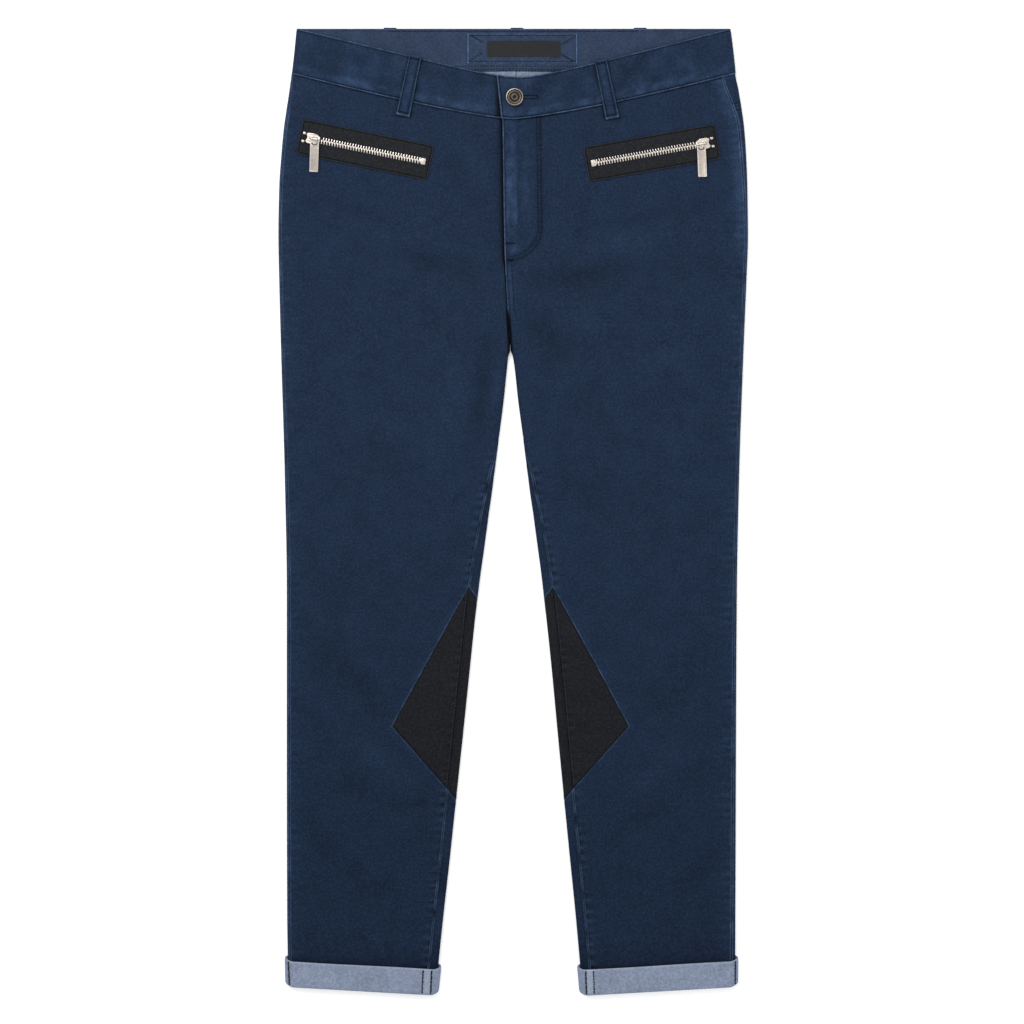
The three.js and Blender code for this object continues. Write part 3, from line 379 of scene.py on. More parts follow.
def on_fly(x, down):
    """1 on the fly's facing, inside the J, and 0 off it."""
    across = x - centre_front(down)
    turn = (down - FLY["straight"]) / (FLY["bottom"] - FLY["straight"])
    reach = FLY["width"] * np.where(turn < 0, 1, np.sqrt(np.clip(1 - turn**2, 0, 1)))
    inside = falling(-1.5, 1.5, across - reach)
    return np.where((across < 0) | (down > FLY["bottom"]), 0, inside)


def creases(rows, x, down):
    """The height of a table's troughs and ridges, each highest half way along its line."""
    total = 0
    for x1, d1, x2, d2, width, height in zip(*rows.values()):
        dx, dd = x2 - x1, d2 - d1
        t = np.clip(((x - x1) * dx + (down - d1) * dd) / (dx * dx + dd * dd), 0, 1)
        off = ((x - x1) * dd - (down - d1) * dx) / math.hypot(dx, dd)
        total = total + height * np.sin(math.pi * t) ** 0.85 * bell(off, width)
    return total


CALM = {"x": 140, "half_x": 80, "down": 125, "half_down": 45, "share": 0.85}


def relief(x, down):
    """What the front's face stands above its even height."""
    across = x - centre_front(down)
    lap = FLY["lap"] * falling(0, FLY["lap_width"], np.abs(across))
    lap = lap * falling(FLY["bottom"] - 6, FLY["bottom"] + 22, down)
    soft = 0.24 * ripple(3, x, down, 95) + 0.1 * ripple(5, x, down, 34)
    # the cloth lies flatter under the pocket patches
    pockets = bell(np.abs(x) - CALM["x"], CALM["half_x"]) * bell(down - CALM["down"], CALM["half_down"])
    soft = soft * (1 - CALM["share"] * pockets)
    return creases(CREASES, x, down) + FLY["relief"] * on_fly(x, down) + np.sign(across) * lap + soft


def loop_lift(down):
    """How far the back loops hold the cloth off the floor."""
    return BACK_LIFT * falling(BACK_LOOP_FOOT + 4, BACK_LOOP_FOOT + 45, down)


def hem_drop(x, side, station):
    inward = outer_edge[side](station) - SIGN[side] * x
    return HEM["slant"] * inward * smooth(HEM["down"] - 140, HEM["down"] - 30, station)


def slant_drop(seam, x, side, station):
    """How far a place lies below its station at the outer edge, near a slanting top seam."""
    sign = SIGN[side]
    fade = falling(seam(sign * outer_edge[side](YOKE["side"])), FORK - CREVICE, station)
    return (seam(x) - seam(sign * outer_edge[side](station))) * fade


def front_drop(x, side, station):
    return slant_drop(band_seam, x, side, station) + hem_drop(x, side, station)


def back_drop(x, side, station):
    return slant_drop(yoke_seam, x, side, station) + hem_drop(x, side, station)


def yoke_drop(x, side, station):
    t = np.clip((station - BAND_SEAM["side"]) / (YOKE["side"] - BAND_SEAM["side"]), 0, 1)
    edge = SIGN[side] * outer_edge[side](station)
    return lerp(back_seam(x) - back_seam(edge), yoke_seam(x) - yoke_seam(edge), t)


def inner_line(side, layer, down):
    """A half's inner fold line, and the way along the cloth from it to the layer's seam."""
    height = loft(down)
    if layer == "front":
        sink = quarter(height) * falling(FORK - CREVICE, FORK, down)
        seam = centre_front(down)
    else:
        sink = -quarter(height) * falling(FORK - BACK_TURN, FORK, down)
        seam = centre_back(down)
    above = down < FORK
    way = np.where(above, sink, way_of(inseam_inset(down), height))
    edge = np.where(above, seam - SIGN[side] * fold_at(sink, height)[0], inner_edge[side](down))
    return edge, way


DROPS = {"front": front_drop, "back": back_drop, "yoke": yoke_drop}


# A place's share of the height, 0 on the floor and 1 on top, says how far it is in each layer.
def in_front(share):
    return smooth(0.55, 1, share)


def in_back(share):
    return falling(0, 0.4, share)


def over_loops(share):
    return falling(0, 0.6, share)


def half_row(side, layer, station):
    """A row's two fold lines, the cloth's length between them and its two seams, along the cloth."""
    sign = SIGN[side]
    height = loft(station)
    outer = sign * outer_edge[side](station)
    middle = np.where(station < FORK, 0, inner_edge[side](station))
    inner, seam = inner_line(side, layer, station + DROPS[layer](middle, side, station))
    span = np.abs(outer - inner) - 2 * FOLD + 2 * quarter(height)
    side_seam = way_of(side_inset[side](station), height)
    return outer, inner, span, seam, side_seam


def lay(side, layer, s, station):
    """The cloth's place and inward normal, s along it from the inner fold: over the top if positive,
    underneath if negative, and on round the outer fold."""
    sign = SIGN[side]
    s, station = together(s, station)
    height = loft(station)
    outer, inner, span, _, _ = half_row(side, layer, station)
    far = np.abs(s) > span / 2
    way = np.where(far, np.where(s < 0, -1, 1) * (span - np.abs(s)), s)
    inward, z, nx, nz = fold_at(way, height)
    turn = np.where(far, -sign, sign)
    x = np.where(far, outer, inner) + turn * inward
    drop = np.where(way > 0, front_drop(x, side, station), DROPS[layer](x, side, station))
    down = station + drop
    share = z / height
    z = z + hem_lift(station) + relief(x, down) * in_front(share)
    z = z + loop_lift(down) * over_loops(share)
    rise = HEM["rise"] * smooth(HEM["down"] - 120, HEM["down"] - 30, down) * (1 - share)
    place = np.stack([x, to_y(down) + rise, z], -1)
    inwards = np.stack([turn * nx, np.zeros_like(nx), nz], -1)
    return place, inwards, down, share


# ------------------------------------------------------------------ meshes
def new_object(name, points, faces, materials, face_materials=None, paint=None, sharp=40):
    """A smooth mesh in metres. Edges sharper than "sharp" degrees stay sharp."""
    mesh = bpy.data.meshes.new(name)
    mesh.from_pydata((np.asarray(points) * MM).tolist(), [], faces)
    for material in materials:
        mesh.materials.append(material)
    if face_materials is not None:
        mesh.polygons.foreach_set("material_index", np.asarray(face_materials, np.int32))
    mesh.polygons.foreach_set("use_smooth", np.ones(len(mesh.polygons), bool))
    if paint is not None:
        layer = mesh.attributes.new("paint", "FLOAT_COLOR", "POINT")
        layer.data.foreach_set("color", np.asarray(paint, np.float32).ravel())
    mesh.set_sharp_from_angle(angle=math.radians(sharp))
    mesh.validate()
    mesh.update()
    obj = bpy.data.objects.new(name, mesh)
    bpy.context.scene.collection.objects.link(obj)
    return obj


def grid_faces(rows, columns, close=False):
    last = columns if close else columns - 1
    r, c = np.meshgrid(np.arange(rows - 1), np.arange(last), indexing="ij")
    here, below, n = r * columns, (r + 1) * columns, (c + 1) % columns
    return np.stack([here + c, here + n, below + n, below + c], -1).reshape(-1, 4).tolist()


def shell(name, outer, inner, faces, materials, paint):
    """A closed wall from an outer sheet and an inner one with the same faces."""
    outer, inner = outer.reshape(-1, 3), inner.reshape(-1, 3)
    count = len(outer)
    corner = np.array([f[:3] for f in faces])
    a, b, c = outer[corner[:, 0]], outer[corner[:, 1]], outer[corner[:, 2]]
    if (np.cross(b - a, c - a) * (inner[corner[:, 0]] - a)).sum() > 0:
        faces = [f[::-1] for f in faces]
    edges = {(f[i - 1], f[i]) for f in faces for i in range(len(f))}
    rim = [(b, a, a + count, b + count) for a, b in sorted(edges) if (b, a) not in edges]
    back = [tuple(v + count for v in f[::-1]) for f in faces]
    index = [0] * len(faces) + [1] * len(back) + [0] * len(rim)
    points = np.concatenate([outer, inner])
    both = np.concatenate([paint.reshape(-1, 4)] * 2)
    every = [tuple(f) for f in faces] + back + rim
    return new_object(name, points, every, materials, index, both)


def cloth_area(points, faces):
    """The area of a sheet in square millimetres."""
    total = 0
    for size in {len(f) for f in faces}:
        p = points[np.array([f for f in faces if len(f) == size])]
        arms = p[:, 1:] - p[:, :1]
        total += np.linalg.norm(np.cross(arms[:, :-1], arms[:, 1:]).sum(1), axis=1).sum() / 2
    return float(total)


def painted(wear, fade=0, deep=0):
    """A point's paint: worn to the pale yarn; faded, which also holds painted highlight; and painted
    shade, darker in seams, grooves, creases and shadows.
    """
    wear, fade, deep = np.broadcast_arrays(np.asarray(wear, float), fade, deep)
    return np.clip(np.stack([wear, fade, deep, np.ones_like(wear)], -1), 0, 1)


def loop_shadow_mask(x, down):
    """How near a place is to the edge of a front loop that lies on it, where painted shade falls round the
    loop.
    """
    near = 0
    for x1, (x2, d2) in FRONT_LOOPS.values():
        d1 = float(top_edge(x1))
        t = np.clip((down - d1) / (d2 - d1), 0, 1)
        off = np.abs(x - lerp(x1, x2, t)) - lerp(LOOP["width"], LOOP["foot"], t) / 2
        sides = bell(off - 0.4, 1.3) * falling(d2, d2 + 2, down)
        near = near + sides + bell(down - d2 - 0.7, 1.2) * falling(0, 2, off)
    return np.clip(near, 0, 1)


def patchy(seed, along, low=0.35, high=1.1, size=22):
    """How strongly an edge has worn along its length."""
    return np.clip(lerp(low, high, 0.5 + 0.5 * ripple(seed, along, 0, size)), 0, 1.2)


# ------------------------------------------------------------------ materials
def node(tree, kind, **values):
    made = tree.nodes.new(kind)
    for key, value in values.items():
        setattr(made, key, value)
    return made


def principled(name):
    material = bpy.data.materials.new(name)
    material.use_nodes = True
    tree = material.node_tree
    return material, tree, tree.nodes["Principled BSDF"]


def linear(colour):
    """An sRGB colour of 0 to 255 as a linear one."""
    shares = [v / 255 for v in colour]
    return tuple(((v + 0.055) / 1.055) ** 2.4 if v > 0.04 else v / 12.92 for v in shares) + (1,)


def object_place(tree):
    return node(tree, "ShaderNodeTexCoord").outputs["Object"]


def paint_of(tree):
    """The wear, the fade with its painted highlight, and the painted shade held on the points."""
    attribute = node(tree, "ShaderNodeAttribute", attribute_name="paint")
    split = node(tree, "ShaderNodeSeparateColor")
    tree.links.new(attribute.outputs["Color"], split.inputs[0])
    return split.outputs


def plug(tree, socket, value):
    if isinstance(value, bpy.types.NodeSocket):
        tree.links.new(value, socket)
    else:
        socket.default_value = value


def maths(tree, operation, *values):
    made = node(tree, "ShaderNodeMath", operation=operation)
    for socket, value in zip(made.inputs, values):
        plug(tree, socket, value)
    return made.outputs[0]


def mix_colour(tree, factor, a, b, blend="MIX"):
    made = node(tree, "ShaderNodeMix", data_type="RGBA", blend_type=blend)
    for socket, value in zip((made.inputs[0], made.inputs[6], made.inputs[7]), (factor, a, b)):
        plug(tree, socket, value)
    return made.outputs[2]


def noise_value(tree, vector, scale, detail=2, rough=0.5):
    made = node(tree, "ShaderNodeTexNoise")
    made.inputs["Scale"].default_value = scale
    made.inputs["Detail"].default_value = detail
    made.inputs["Roughness"].default_value = rough
    tree.links.new(vector, made.inputs["Vector"])
    return made.outputs["Fac"]


def twill(tree, vector, period, angle):
    """The diagonal ribs of a twill, a little uneven. period is in metres."""
    turned = node(tree, "ShaderNodeMapping")
    turned.inputs["Rotation"].default_value = (0, 0, math.radians(angle))
    tree.links.new(vector, turned.inputs["Vector"])
    wave = node(tree, "ShaderNodeTexWave", wave_type="BANDS", bands_direction="X")
    wave.inputs["Scale"].default_value = math.pi / 10 / period
    wave.inputs["Distortion"].default_value = 1.6
    wave.inputs["Detail"].default_value = 1
    wave.inputs["Detail Scale"].default_value = 3
    tree.links.new(turned.outputs[0], wave.inputs["Vector"])
    return wave.outputs["Fac"]


def bump_into(tree, shader, height, strength, distance):
    bump = node(tree, "ShaderNodeBump")
    bump.inputs["Strength"].default_value = strength
    bump.inputs["Distance"].default_value = distance
    tree.links.new(height, bump.inputs["Height"])
    tree.links.new(bump.outputs[0], shader.inputs["Normal"])


# the grain of the cloth: a noise's scale, its detail and its share
GRAIN = ((500, 2, 0.95), (170, 2, 0.4), (55, 3, 0.28), (9, 2, 0.16))
RIB_PERIOD = 0.75 * MM
WEAVE = 0.25  # how much the ribs darken and brighten the cloth
SHADE_DARK = 0.93  # how much of the light the painted shade takes away: in seams, grooves, creases and shadows
FIBRES = {"share": 0.3, "less": 0.135}
RUB = {"share": 2.6, "less": 0.5}
FIBRE = (84, 86, 92)
PALE_FIBRE = (190, 196, 206)


def cloth_material(name, colour, worn, faded, rough, specular=0.07, angle=62, grain=1.0, fibre=FIBRE):
    """Twill cloth. Its paint attribute holds worn places, faded places with painted highlight, and painted
    shade.
    """
    material, tree, shader = principled(name)
    place = object_place(tree)
    ribs = twill(tree, place, RIB_PERIOD, angle)
    noises = [noise_value(tree, place, scale, detail, 0.6) for scale, detail, _ in GRAIN]
    speck, _, cloud, _ = noises
    wear, fade, deep = paint_of(tree)
    # ribs, specks of undyed yarn and slow drift of the dye
    bright = maths(tree, "MULTIPLY_ADD", ribs, WEAVE, 1 - WEAVE / 2)
    for value, (_, _, share) in zip(noises, GRAIN):
        share = share * grain
        bright = maths(tree, "ADD", bright, maths(tree, "MULTIPLY_ADD", value, share, -share / 2))
    bright = maths(tree, "MAXIMUM", bright, 0.1)
    # painted shade darkens the cloth
    bright = maths(tree, "MULTIPLY", bright, maths(tree, "MULTIPLY_ADD", deep, -SHADE_DARK, 1.0))
    # fade, which also carries painted highlight, mixes towards the faded colour
    clouded = maths(tree, "MULTIPLY", fade, maths(tree, "ADD", cloud, 0.5))
    base = mix_colour(tree, clouded, linear(colour), linear(faded))
    grey = node(tree, "ShaderNodeCombineColor")
    for socket in grey.inputs:
        tree.links.new(bright, socket)
    base = mix_colour(tree, 1.0, base, grey.outputs[0], "MULTIPLY")
    # undyed fibres at the surface, which are greyer than the dye
    fibres = maths(tree, "MULTIPLY_ADD", speck, FIBRES["share"] * grain, -FIBRES["less"] * grain)
    fibres = maths(tree, "MAXIMUM", maths(tree, "MULTIPLY", fibres, maths(tree, "SUBTRACT", 1.0, deep)), 0)
    base = mix_colour(tree, fibres, base, linear(fibre))
    # what is worn is worn in specks
    rub = maths(tree, "MULTIPLY_ADD", noise_value(tree, place, 420, 3, 0.65), RUB["share"], -RUB["less"])
    rubbed = maths(tree, "MULTIPLY", wear, maths(tree, "MINIMUM", maths(tree, "MAXIMUM", rub, 0.1), 1.2))
    rubbed = maths(tree, "MINIMUM", rubbed, 1)
    base = mix_colour(tree, rubbed, base, linear(worn))
    tree.links.new(base, shader.inputs["Base Color"])
    tree.links.new(maths(tree, "MULTIPLY_ADD", cloud, 0.12, rough - 0.06), shader.inputs["Roughness"])
    shader.inputs["Specular IOR Level"].default_value = specular
    height = maths(tree, "ADD", maths(tree, "MULTIPLY", ribs, 0.6), maths(tree, "MULTIPLY", speck, 0.5))
    bump_into(tree, shader, height, 0.35, 0.12 * MM)
    return material


TARNISH_AND_SHADE = (44, 38, 36)


def metal_material(name, colour, dark, rough):
    """Plated metal with fine scratches and a duller, darker bloom in places. Its paint attribute holds
    tarnish in recesses and painted shade on parts that lie in shadow."""
    material, tree, shader = principled(name)
    place = object_place(tree)
    bloom = noise_value(tree, place, 260, 3, 0.6)
    stretched = node(tree, "ShaderNodeMapping")
    stretched.inputs["Scale"].default_value = (1, 0.12, 1)
    tree.links.new(place, stretched.inputs["Vector"])
    brushed = noise_value(tree, stretched.outputs[0], 2600, 2, 0.6)
    share = maths(tree, "MULTIPLY_ADD", bloom, 0.9, -0.2)
    base = mix_colour(tree, share, linear(colour), linear(dark))
    _, _, tarnish_and_shade_mask = paint_of(tree)
    base = mix_colour(tree, tarnish_and_shade_mask, base, linear(TARNISH_AND_SHADE))
    tree.links.new(base, shader.inputs["Base Color"])
    tree.links.new(maths(tree, "MULTIPLY_ADD", brushed, 0.25, rough - 0.12), shader.inputs["Roughness"])
    shader.inputs["Metallic"].default_value = 1
    bump_into(tree, shader, brushed, 0.06, 0.1 * MM)
    return material


def button_material():
    """Antiqued metal: bright where a thumb rubs it, black in the rings."""
    material, tree, shader = principled("antique_button")
    wear, _, _ = paint_of(tree)
    bloom = noise_value(tree, object_place(tree), 700, 3, 0.65)
    rubbed = maths(tree, "MULTIPLY", wear, maths(tree, "MULTIPLY_ADD", bloom, 0.9, 0.5))
    share = maths(tree, "MINIMUM", rubbed, 1)
    base = mix_colour(tree, share, linear((34, 32, 32)), linear((178, 166, 153)))
    tree.links.new(base, shader.inputs["Base Color"])
    tree.links.new(maths(tree, "MULTIPLY_ADD", rubbed, -0.25, 0.55), shader.inputs["Roughness"])
    shader.inputs["Metallic"].default_value = 1
    bump_into(tree, shader, bloom, 0.2, 0.15 * MM)
    return material


# each cloth's colour, the colour it wears to, the one it fades to, and how rough it is
WORN_BLUE = (92, 116, 152)
WORN_BLACK = (58, 62, 70)
NAVY = cloth_material("coated_navy", (11, 27, 48), WORN_BLUE, (54, 75, 107), 0.62)
INSIDE = cloth_material("navy_inside", (42, 54, 75), WORN_BLUE, (58, 74, 102), 0.75)
BLACK = cloth_material("black_coated", (20, 21, 25), WORN_BLACK, (42, 45, 50), 0.6)
PATCH_BLACK = cloth_material("black_patch", (29, 31, 35), WORN_BLACK, (46, 49, 55), 0.6)
PALE = cloth_material(
    "wrong_side", (120, 131, 153), (168, 178, 195), (140, 151, 172), 0.9, grain=0.85, fibre=PALE_FIBRE
)
NAVY_THREAD = cloth_material("navy_thread", (10, 17, 28), WORN_BLUE, (30, 40, 58), 0.55, grain=0.3)
BLACK_THREAD = cloth_material("black_thread", (12, 12, 14), (50, 52, 56), (34, 36, 40), 0.5, grain=0.3)
GREY_THREAD = cloth_material("grey_thread", (58, 63, 72), (100, 104, 110), (70, 74, 80), 0.6, grain=0.3)
LABEL_CLOTH = cloth_material(
    "woven_label", (26, 26, 28), (62, 62, 64), (40, 40, 42), 0.45, specular=0.2, angle=0, grain=0.4
)
NICKEL = metal_material("warm_nickel", (236, 226, 216), (176, 168, 160), 0.34)
BUTTON_METAL = button_material()


# ------------------------------------------------------------------ sewing thread
# kinds of stitch: how long one is, the gap to the next, and the thread's radius
STITCHES = {
    "seam": (2.5, 0.55, 0.3),
    "fly": (2.3, 0.5, 0.27),
    "patch": (2.2, 0.5, 0.27),
    "loop": (2.2, 0.5, 0.26),
    "kite": (2.0, 0.9, 0.2),
    "patch_tack": (0.9, 0.1, 0.3),
    "loop_tack": (1.6, 0.1, 0.26),
    "fly_tack": (1.5, 0.1, 0.26),
    "serged": (1.5, 0.08, 0.78),
    "buttonhole": (0.62, 0.02, 0.4),
}
# along a stitch: its share, how thick it is and how high it stands, in radii
STITCH_FORM = ((0, 0.5, -0.8), (0.14, 0.95, 0.25), (0.5, 1, 0.75), (0.86, 0.95, 0.25), (1, 0.5, -0.8))
THREAD_SIDES = 6
THREAD_SUNK = 0.12  # how deep a row lies in the face that it is sewn on
HEADING_STEP = 0.3  # a stitch heads along the line over this much on either side


def walk(values, at, line):
    """Values that go with each point of a line, at given lengths along it."""
    steps = np.linalg.norm(np.diff(line, axis=0), axis=1)
    along = np.concatenate([[0], np.cumsum(steps)])
    return np.stack([np.interp(at, along, values[:, k]) for k in range(values.shape[1])], -1)


def length_of(line):
    return float(np.linalg.norm(np.diff(line, axis=0), axis=1).sum())


def stitches(line, up, kind, seed):
    """The points of a row of stitches, as (stitch, ring, side, xyz)."""
    long, gap, radius = STITCHES[kind]
    total = length_of(line)
    count = max(1, round(total / (long + gap)))
    pitch = total / count
    share, thick, high = np.array(STITCH_FORM).T
    jitter = np.random.default_rng(seed).uniform(-0.1, 0.1, (count, 1))
    at = np.clip((np.arange(count)[:, None] + jitter) * pitch + gap / 2 + share * (pitch - gap), 0, total)
    both = np.concatenate([line, up], axis=1)
    here = walk(both, at, line)
    centre, normal = here[..., :3], unit(here[..., 3:])
    ahead = walk(line, np.clip(at + HEADING_STEP, 0, total), line)
    behind = walk(line, np.clip(at - HEADING_STEP, 0, total), line)
    side = unit(np.cross(ahead - behind, normal))
    turn = np.arange(THREAD_SIDES) * 2 * math.pi / THREAD_SIDES
    spoke = side[..., None, :] * np.cos(turn)[:, None] + normal[..., None, :] * np.sin(turn)[:, None]
    centre = centre + normal * (high * radius)[:, None]
    return centre[..., None, :] + spoke * (thick * radius)[:, None, None]


def sew(name, rows, material):
    """One piece of thread from many rows of stitches."""
    points, faces, start = [], [], 0
    for row in rows:
        count, rings, around, _ = row.shape
        one = [tuple(range(around))[::-1], tuple(range((rings - 1) * around, rings * around))]
        one += [tuple(f) for f in grid_faces(rings, around, close=True)]
        for k in range(count):
            base = start + k * rings * around
            faces += [tuple(v + base for v in f) for f in one]
        points.append(row.reshape(-1, 3))
        start += count * rings * around
    made = new_object(name, np.concatenate(points), faces, [material], sharp=60)
    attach(made, "root")


# ------------------------------------------------------------------ panels
# A panel's grid: its columns beside a seam, and how far apart rows and columns are away from seams.
NEAR_SEAM = (0, 0.35, 0.75, 1.2, 1.8, 2.6, 3.6, 5, 6.8, 9, 11.5)
ROW_STEP = 2.6
COLUMN_STEP = 4.2
SEAM_HALF = 0.06  # half the gap between two pieces at a seam
YOKE_TUCK = 0.7  # how far the yoke goes under the band


def across(first, last, extra=()):
    """Columns along the cloth for each row: close together at both seams and even between them.
    extra are more places, measured from the first seam."""
    way = np.sign(last - first)
    length = np.abs(last - first)
    places = NEAR_SEAM + tuple(extra)
    columns = [first + way * d for d in places]
    start, end = places[-1], length - NEAR_SEAM[-1]
    count = int((end - start).max() / COLUMN_STEP)
    columns += [first + way * lerp(start, end, (i + 1) / (count + 1)) for i in range(count)]
    columns += [last - way * d for d in NEAR_SEAM[::-1]]
    return np.stack(columns, -1)


SEAM_DIP = {"depth": 0.55, "width": 0.55}
CREST = {"from": 0.75, "width": 0.45}  # where the worn crest beside a seam lies
RIDGE_PERIOD = 8.6  # from one ridge to the next where stitches draw a seam together


def edge_dip(distance):
    """The cloth turns down into a seam."""
    return -SEAM_DIP["depth"] * bell(distance, SEAM_DIP["width"])


def crest(distance):
    return bell(distance - CREST["from"], CREST["width"])


def seam_welt(distance, height, width):
    """The turned-in cloth under a seam holds it up in a low welt."""
    return height * hump(0.4, 1.6, width - 1.5, width + 2.5, distance)


def pucker(distance, along, seed, size=0.16, period=9, reach=6):
    """Short uneven ridges across a seam, which its stitches draw together."""
    wave = np.sin(2 * math.pi * along / period + 2.2 * ripple(seed, along, 0, 70))
    uneven = 0.7 + 0.5 * ripple(seed + 200, along, distance, 44)
    return size * wave * uneven * smooth(0.3, 2.2, distance) * bell(distance, reach)


def shaded(height, light, dark):
    """Fade and shade of low relief: its crests lighter, partly rubbed and partly painted light,
    and its troughs darker as painted shade.
    """
    return light * np.maximum(height, 0), dark * np.maximum(-height, 0)


# more columns beside a back seam, where the cloth folds, and across the fly, down to the J
FOLD_COLUMNS = (13, 14.4, 15.8, 17.4, 19.4, 22)
FLY_COLUMNS = (13, 14.5, 16, 17.5, 19.5, 22, 25, 28, 31, 33, 34.4, 35.6, 36.6, 37.6, 39, 41.5)
UNDER = 3  # how far the right front goes under the fly's edge
EDGE = {"front": BAND_SEAM["side"], "back": YOKE["side"], "yoke": BAND_SEAM["side"]}
FOOT = HEM["down"] - HEM["lip"]
FLOOR_CLEAR = 0.02
UNDERSIDE = 0.3  # how far the shell's back lies above the solid's, so that its ridges clear the floor
ON_LEG = (FORK + 60, FORK + 130)  # over this the inside-leg seam comes up to the front
SIDE_RIDGES = {"left": 0.14, "right": 0.07}
# how much ridges lighten on their crests, partly rubbed and partly painted light, and darken in
# their troughs as painted shade: folds, inside leg, side seam
SHADES = ((0.13, 0.24), (1.8, 2.6), (1.6, 2.2))
# down the front's middle: where the fly's edge ends, the crotch seam starts and ends, and the
# painted shadow of the slit between the thighs starts
FLY_ENDS = (FLY["bottom"] - 4, FLY["bottom"] + 8)
SEAM_STARTS = (FLY["bottom"] - 8, FLY["bottom"] + 4)
SEAM_ENDS = (FORK - 46, FORK - 30)
SLIT_STARTS = (FORK - 46, FORK - 28)
ZIP_RIDGE = (52, 70, 190, 206)
ZIP_FADE = (50, 70, 196, 214)
BODY_TONE = (0.155, 0.065)  # how light the thighs and the hems are: the legs get darker towards the hems
J_ROWS = ((33, 219), (36.7, 223.5))  # a row's reach from the fly's edge, and its lowest place
J_TOP = 84
SEEDS = {"panel": {"left": 11, "right": 17}, "band": {"left": 51, "right": 57}}


def seam_distances(side, layer, s, station):
    """Distances along the cloth from a panel's inner seam and from its side seam."""
    _, _, span, seam, side_seam = half_row(side, layer, station)
    if layer == "front":
        return s - seam, span - side_seam - s
    return seam - s, s + span + side_seam


def fly_ridges(x, down):
    """What the zip and the J's two rows of stitches press into the fly's facing."""
    across = x - centre_front(down)
    ridge = 0.3 * bell(across - 11.5, 3.6) - 0.28 * bell(across - 17, 1.5)
    rows = 0
    for reach, low in J_ROWS:
        rows = rows - 0.24 * bell(j_distance(across, down, reach, low), 0.8)
    waves = np.sin(down * 2 * math.pi / 6.5 + ripple(31, down, 0, 40))
    between = 0.1 * waves * bell(across - 34.8, 3.2) * falling(200, 225, down)
    return ridge * hump(*ZIP_RIDGE, down) + rows + between


def j_distance(across, down, reach, low):
    """Distance from one row of the J, nearly."""
    tall = low - FLY["straight"]
    drop = np.maximum(down - FLY["straight"], 0) / tall
    round_part = (np.hypot(np.maximum(across, 0) / reach, drop) - 1) * reach
    return np.where(down < FLY["straight"], across - reach, round_part)


def front_centre(side, edge, x, down):
    """Wear, fade and painted shade of the front beside the fly's edge and the seam below it, with the
    painted shadows of the fly's edge and of the slit between the thighs.
    """
    upper = falling(*FLY_ENDS, down)
    lower = hump(*SEAM_STARTS, *SEAM_ENDS, down)
    # painted shadow in the slit between the thighs
    slit_shadow = smooth(*SLIT_STARTS, down) * falling(1.2, 2.9, np.abs(edge))
    wear, fade, deep = 0 * edge, 0 * edge, 1.5 * slit_shadow
    if side == "right":
        # painted shadow of the left front's raised edge on the right front, and painted shade in the crotch
        # seam
        shadow = np.exp(-np.maximum(-edge - 1.2, 0) / 1.9)
        deep = deep + upper * shadow + 0.7 * lower * bell(edge, 1.3)
        return wear, fade, deep
    wear = (0.62 * upper + 0.55 * lower) * crest(edge) * patchy(29, down, 0.45, 1.1, 14)
    # the turned-in edge beside the zip, most faded half way down, and the zip's lower end
    mottled = 0.75 + 0.4 * ripple(33, edge * 1.6, down, 15)
    stripe = hump(1.6, 3, 11, 14.5, edge) * hump(*ZIP_FADE, down)
    fade = (0.12 + 0.34 * bell(down - 150, 40)) * stripe * mottled
    fade = fade + 0.12 * bell(edge - 22, 4) * bell(down - 145, 38) * mottled
    fade = fade + 0.32 * bell(edge - 9, 4.5) * bell(down - 212, 5)
    # the strip between the crotch seam and its stitches
    ladder = 0.6 + 0.4 * np.sin(down * 2 * math.pi / 5.3)
    fade = fade + 0.3 * hump(224, 228, 262, 276, down) * bell(edge - 4.3, 2.3) * ladder
    # painted shade in the groove beside the fly's edge and the crotch seam
    deep = deep + 0.55 * (upper + lower) * bell(edge - 2.1, 0.6)
    # the J's rows and the puckered cloth between them, darkened as painted shade
    rows = 0
    for reach, low in J_ROWS:
        rows = rows + bell(j_distance(edge, down, reach, low), 1.6)
    reach, low = (sum(pair) / 2 for pair in zip(*J_ROWS))
    between = bell(j_distance(edge, down, reach, low), 3.4)
    uneven = 0.6 + 0.4 * np.sin(down * 2 * math.pi / 5.2 + 2 * ripple(35, down, 0, 40))
    deep = deep + on_fly(x - 3, down) * (0.16 * rows + 0.3 * between * uneven)
    return wear, fade, deep


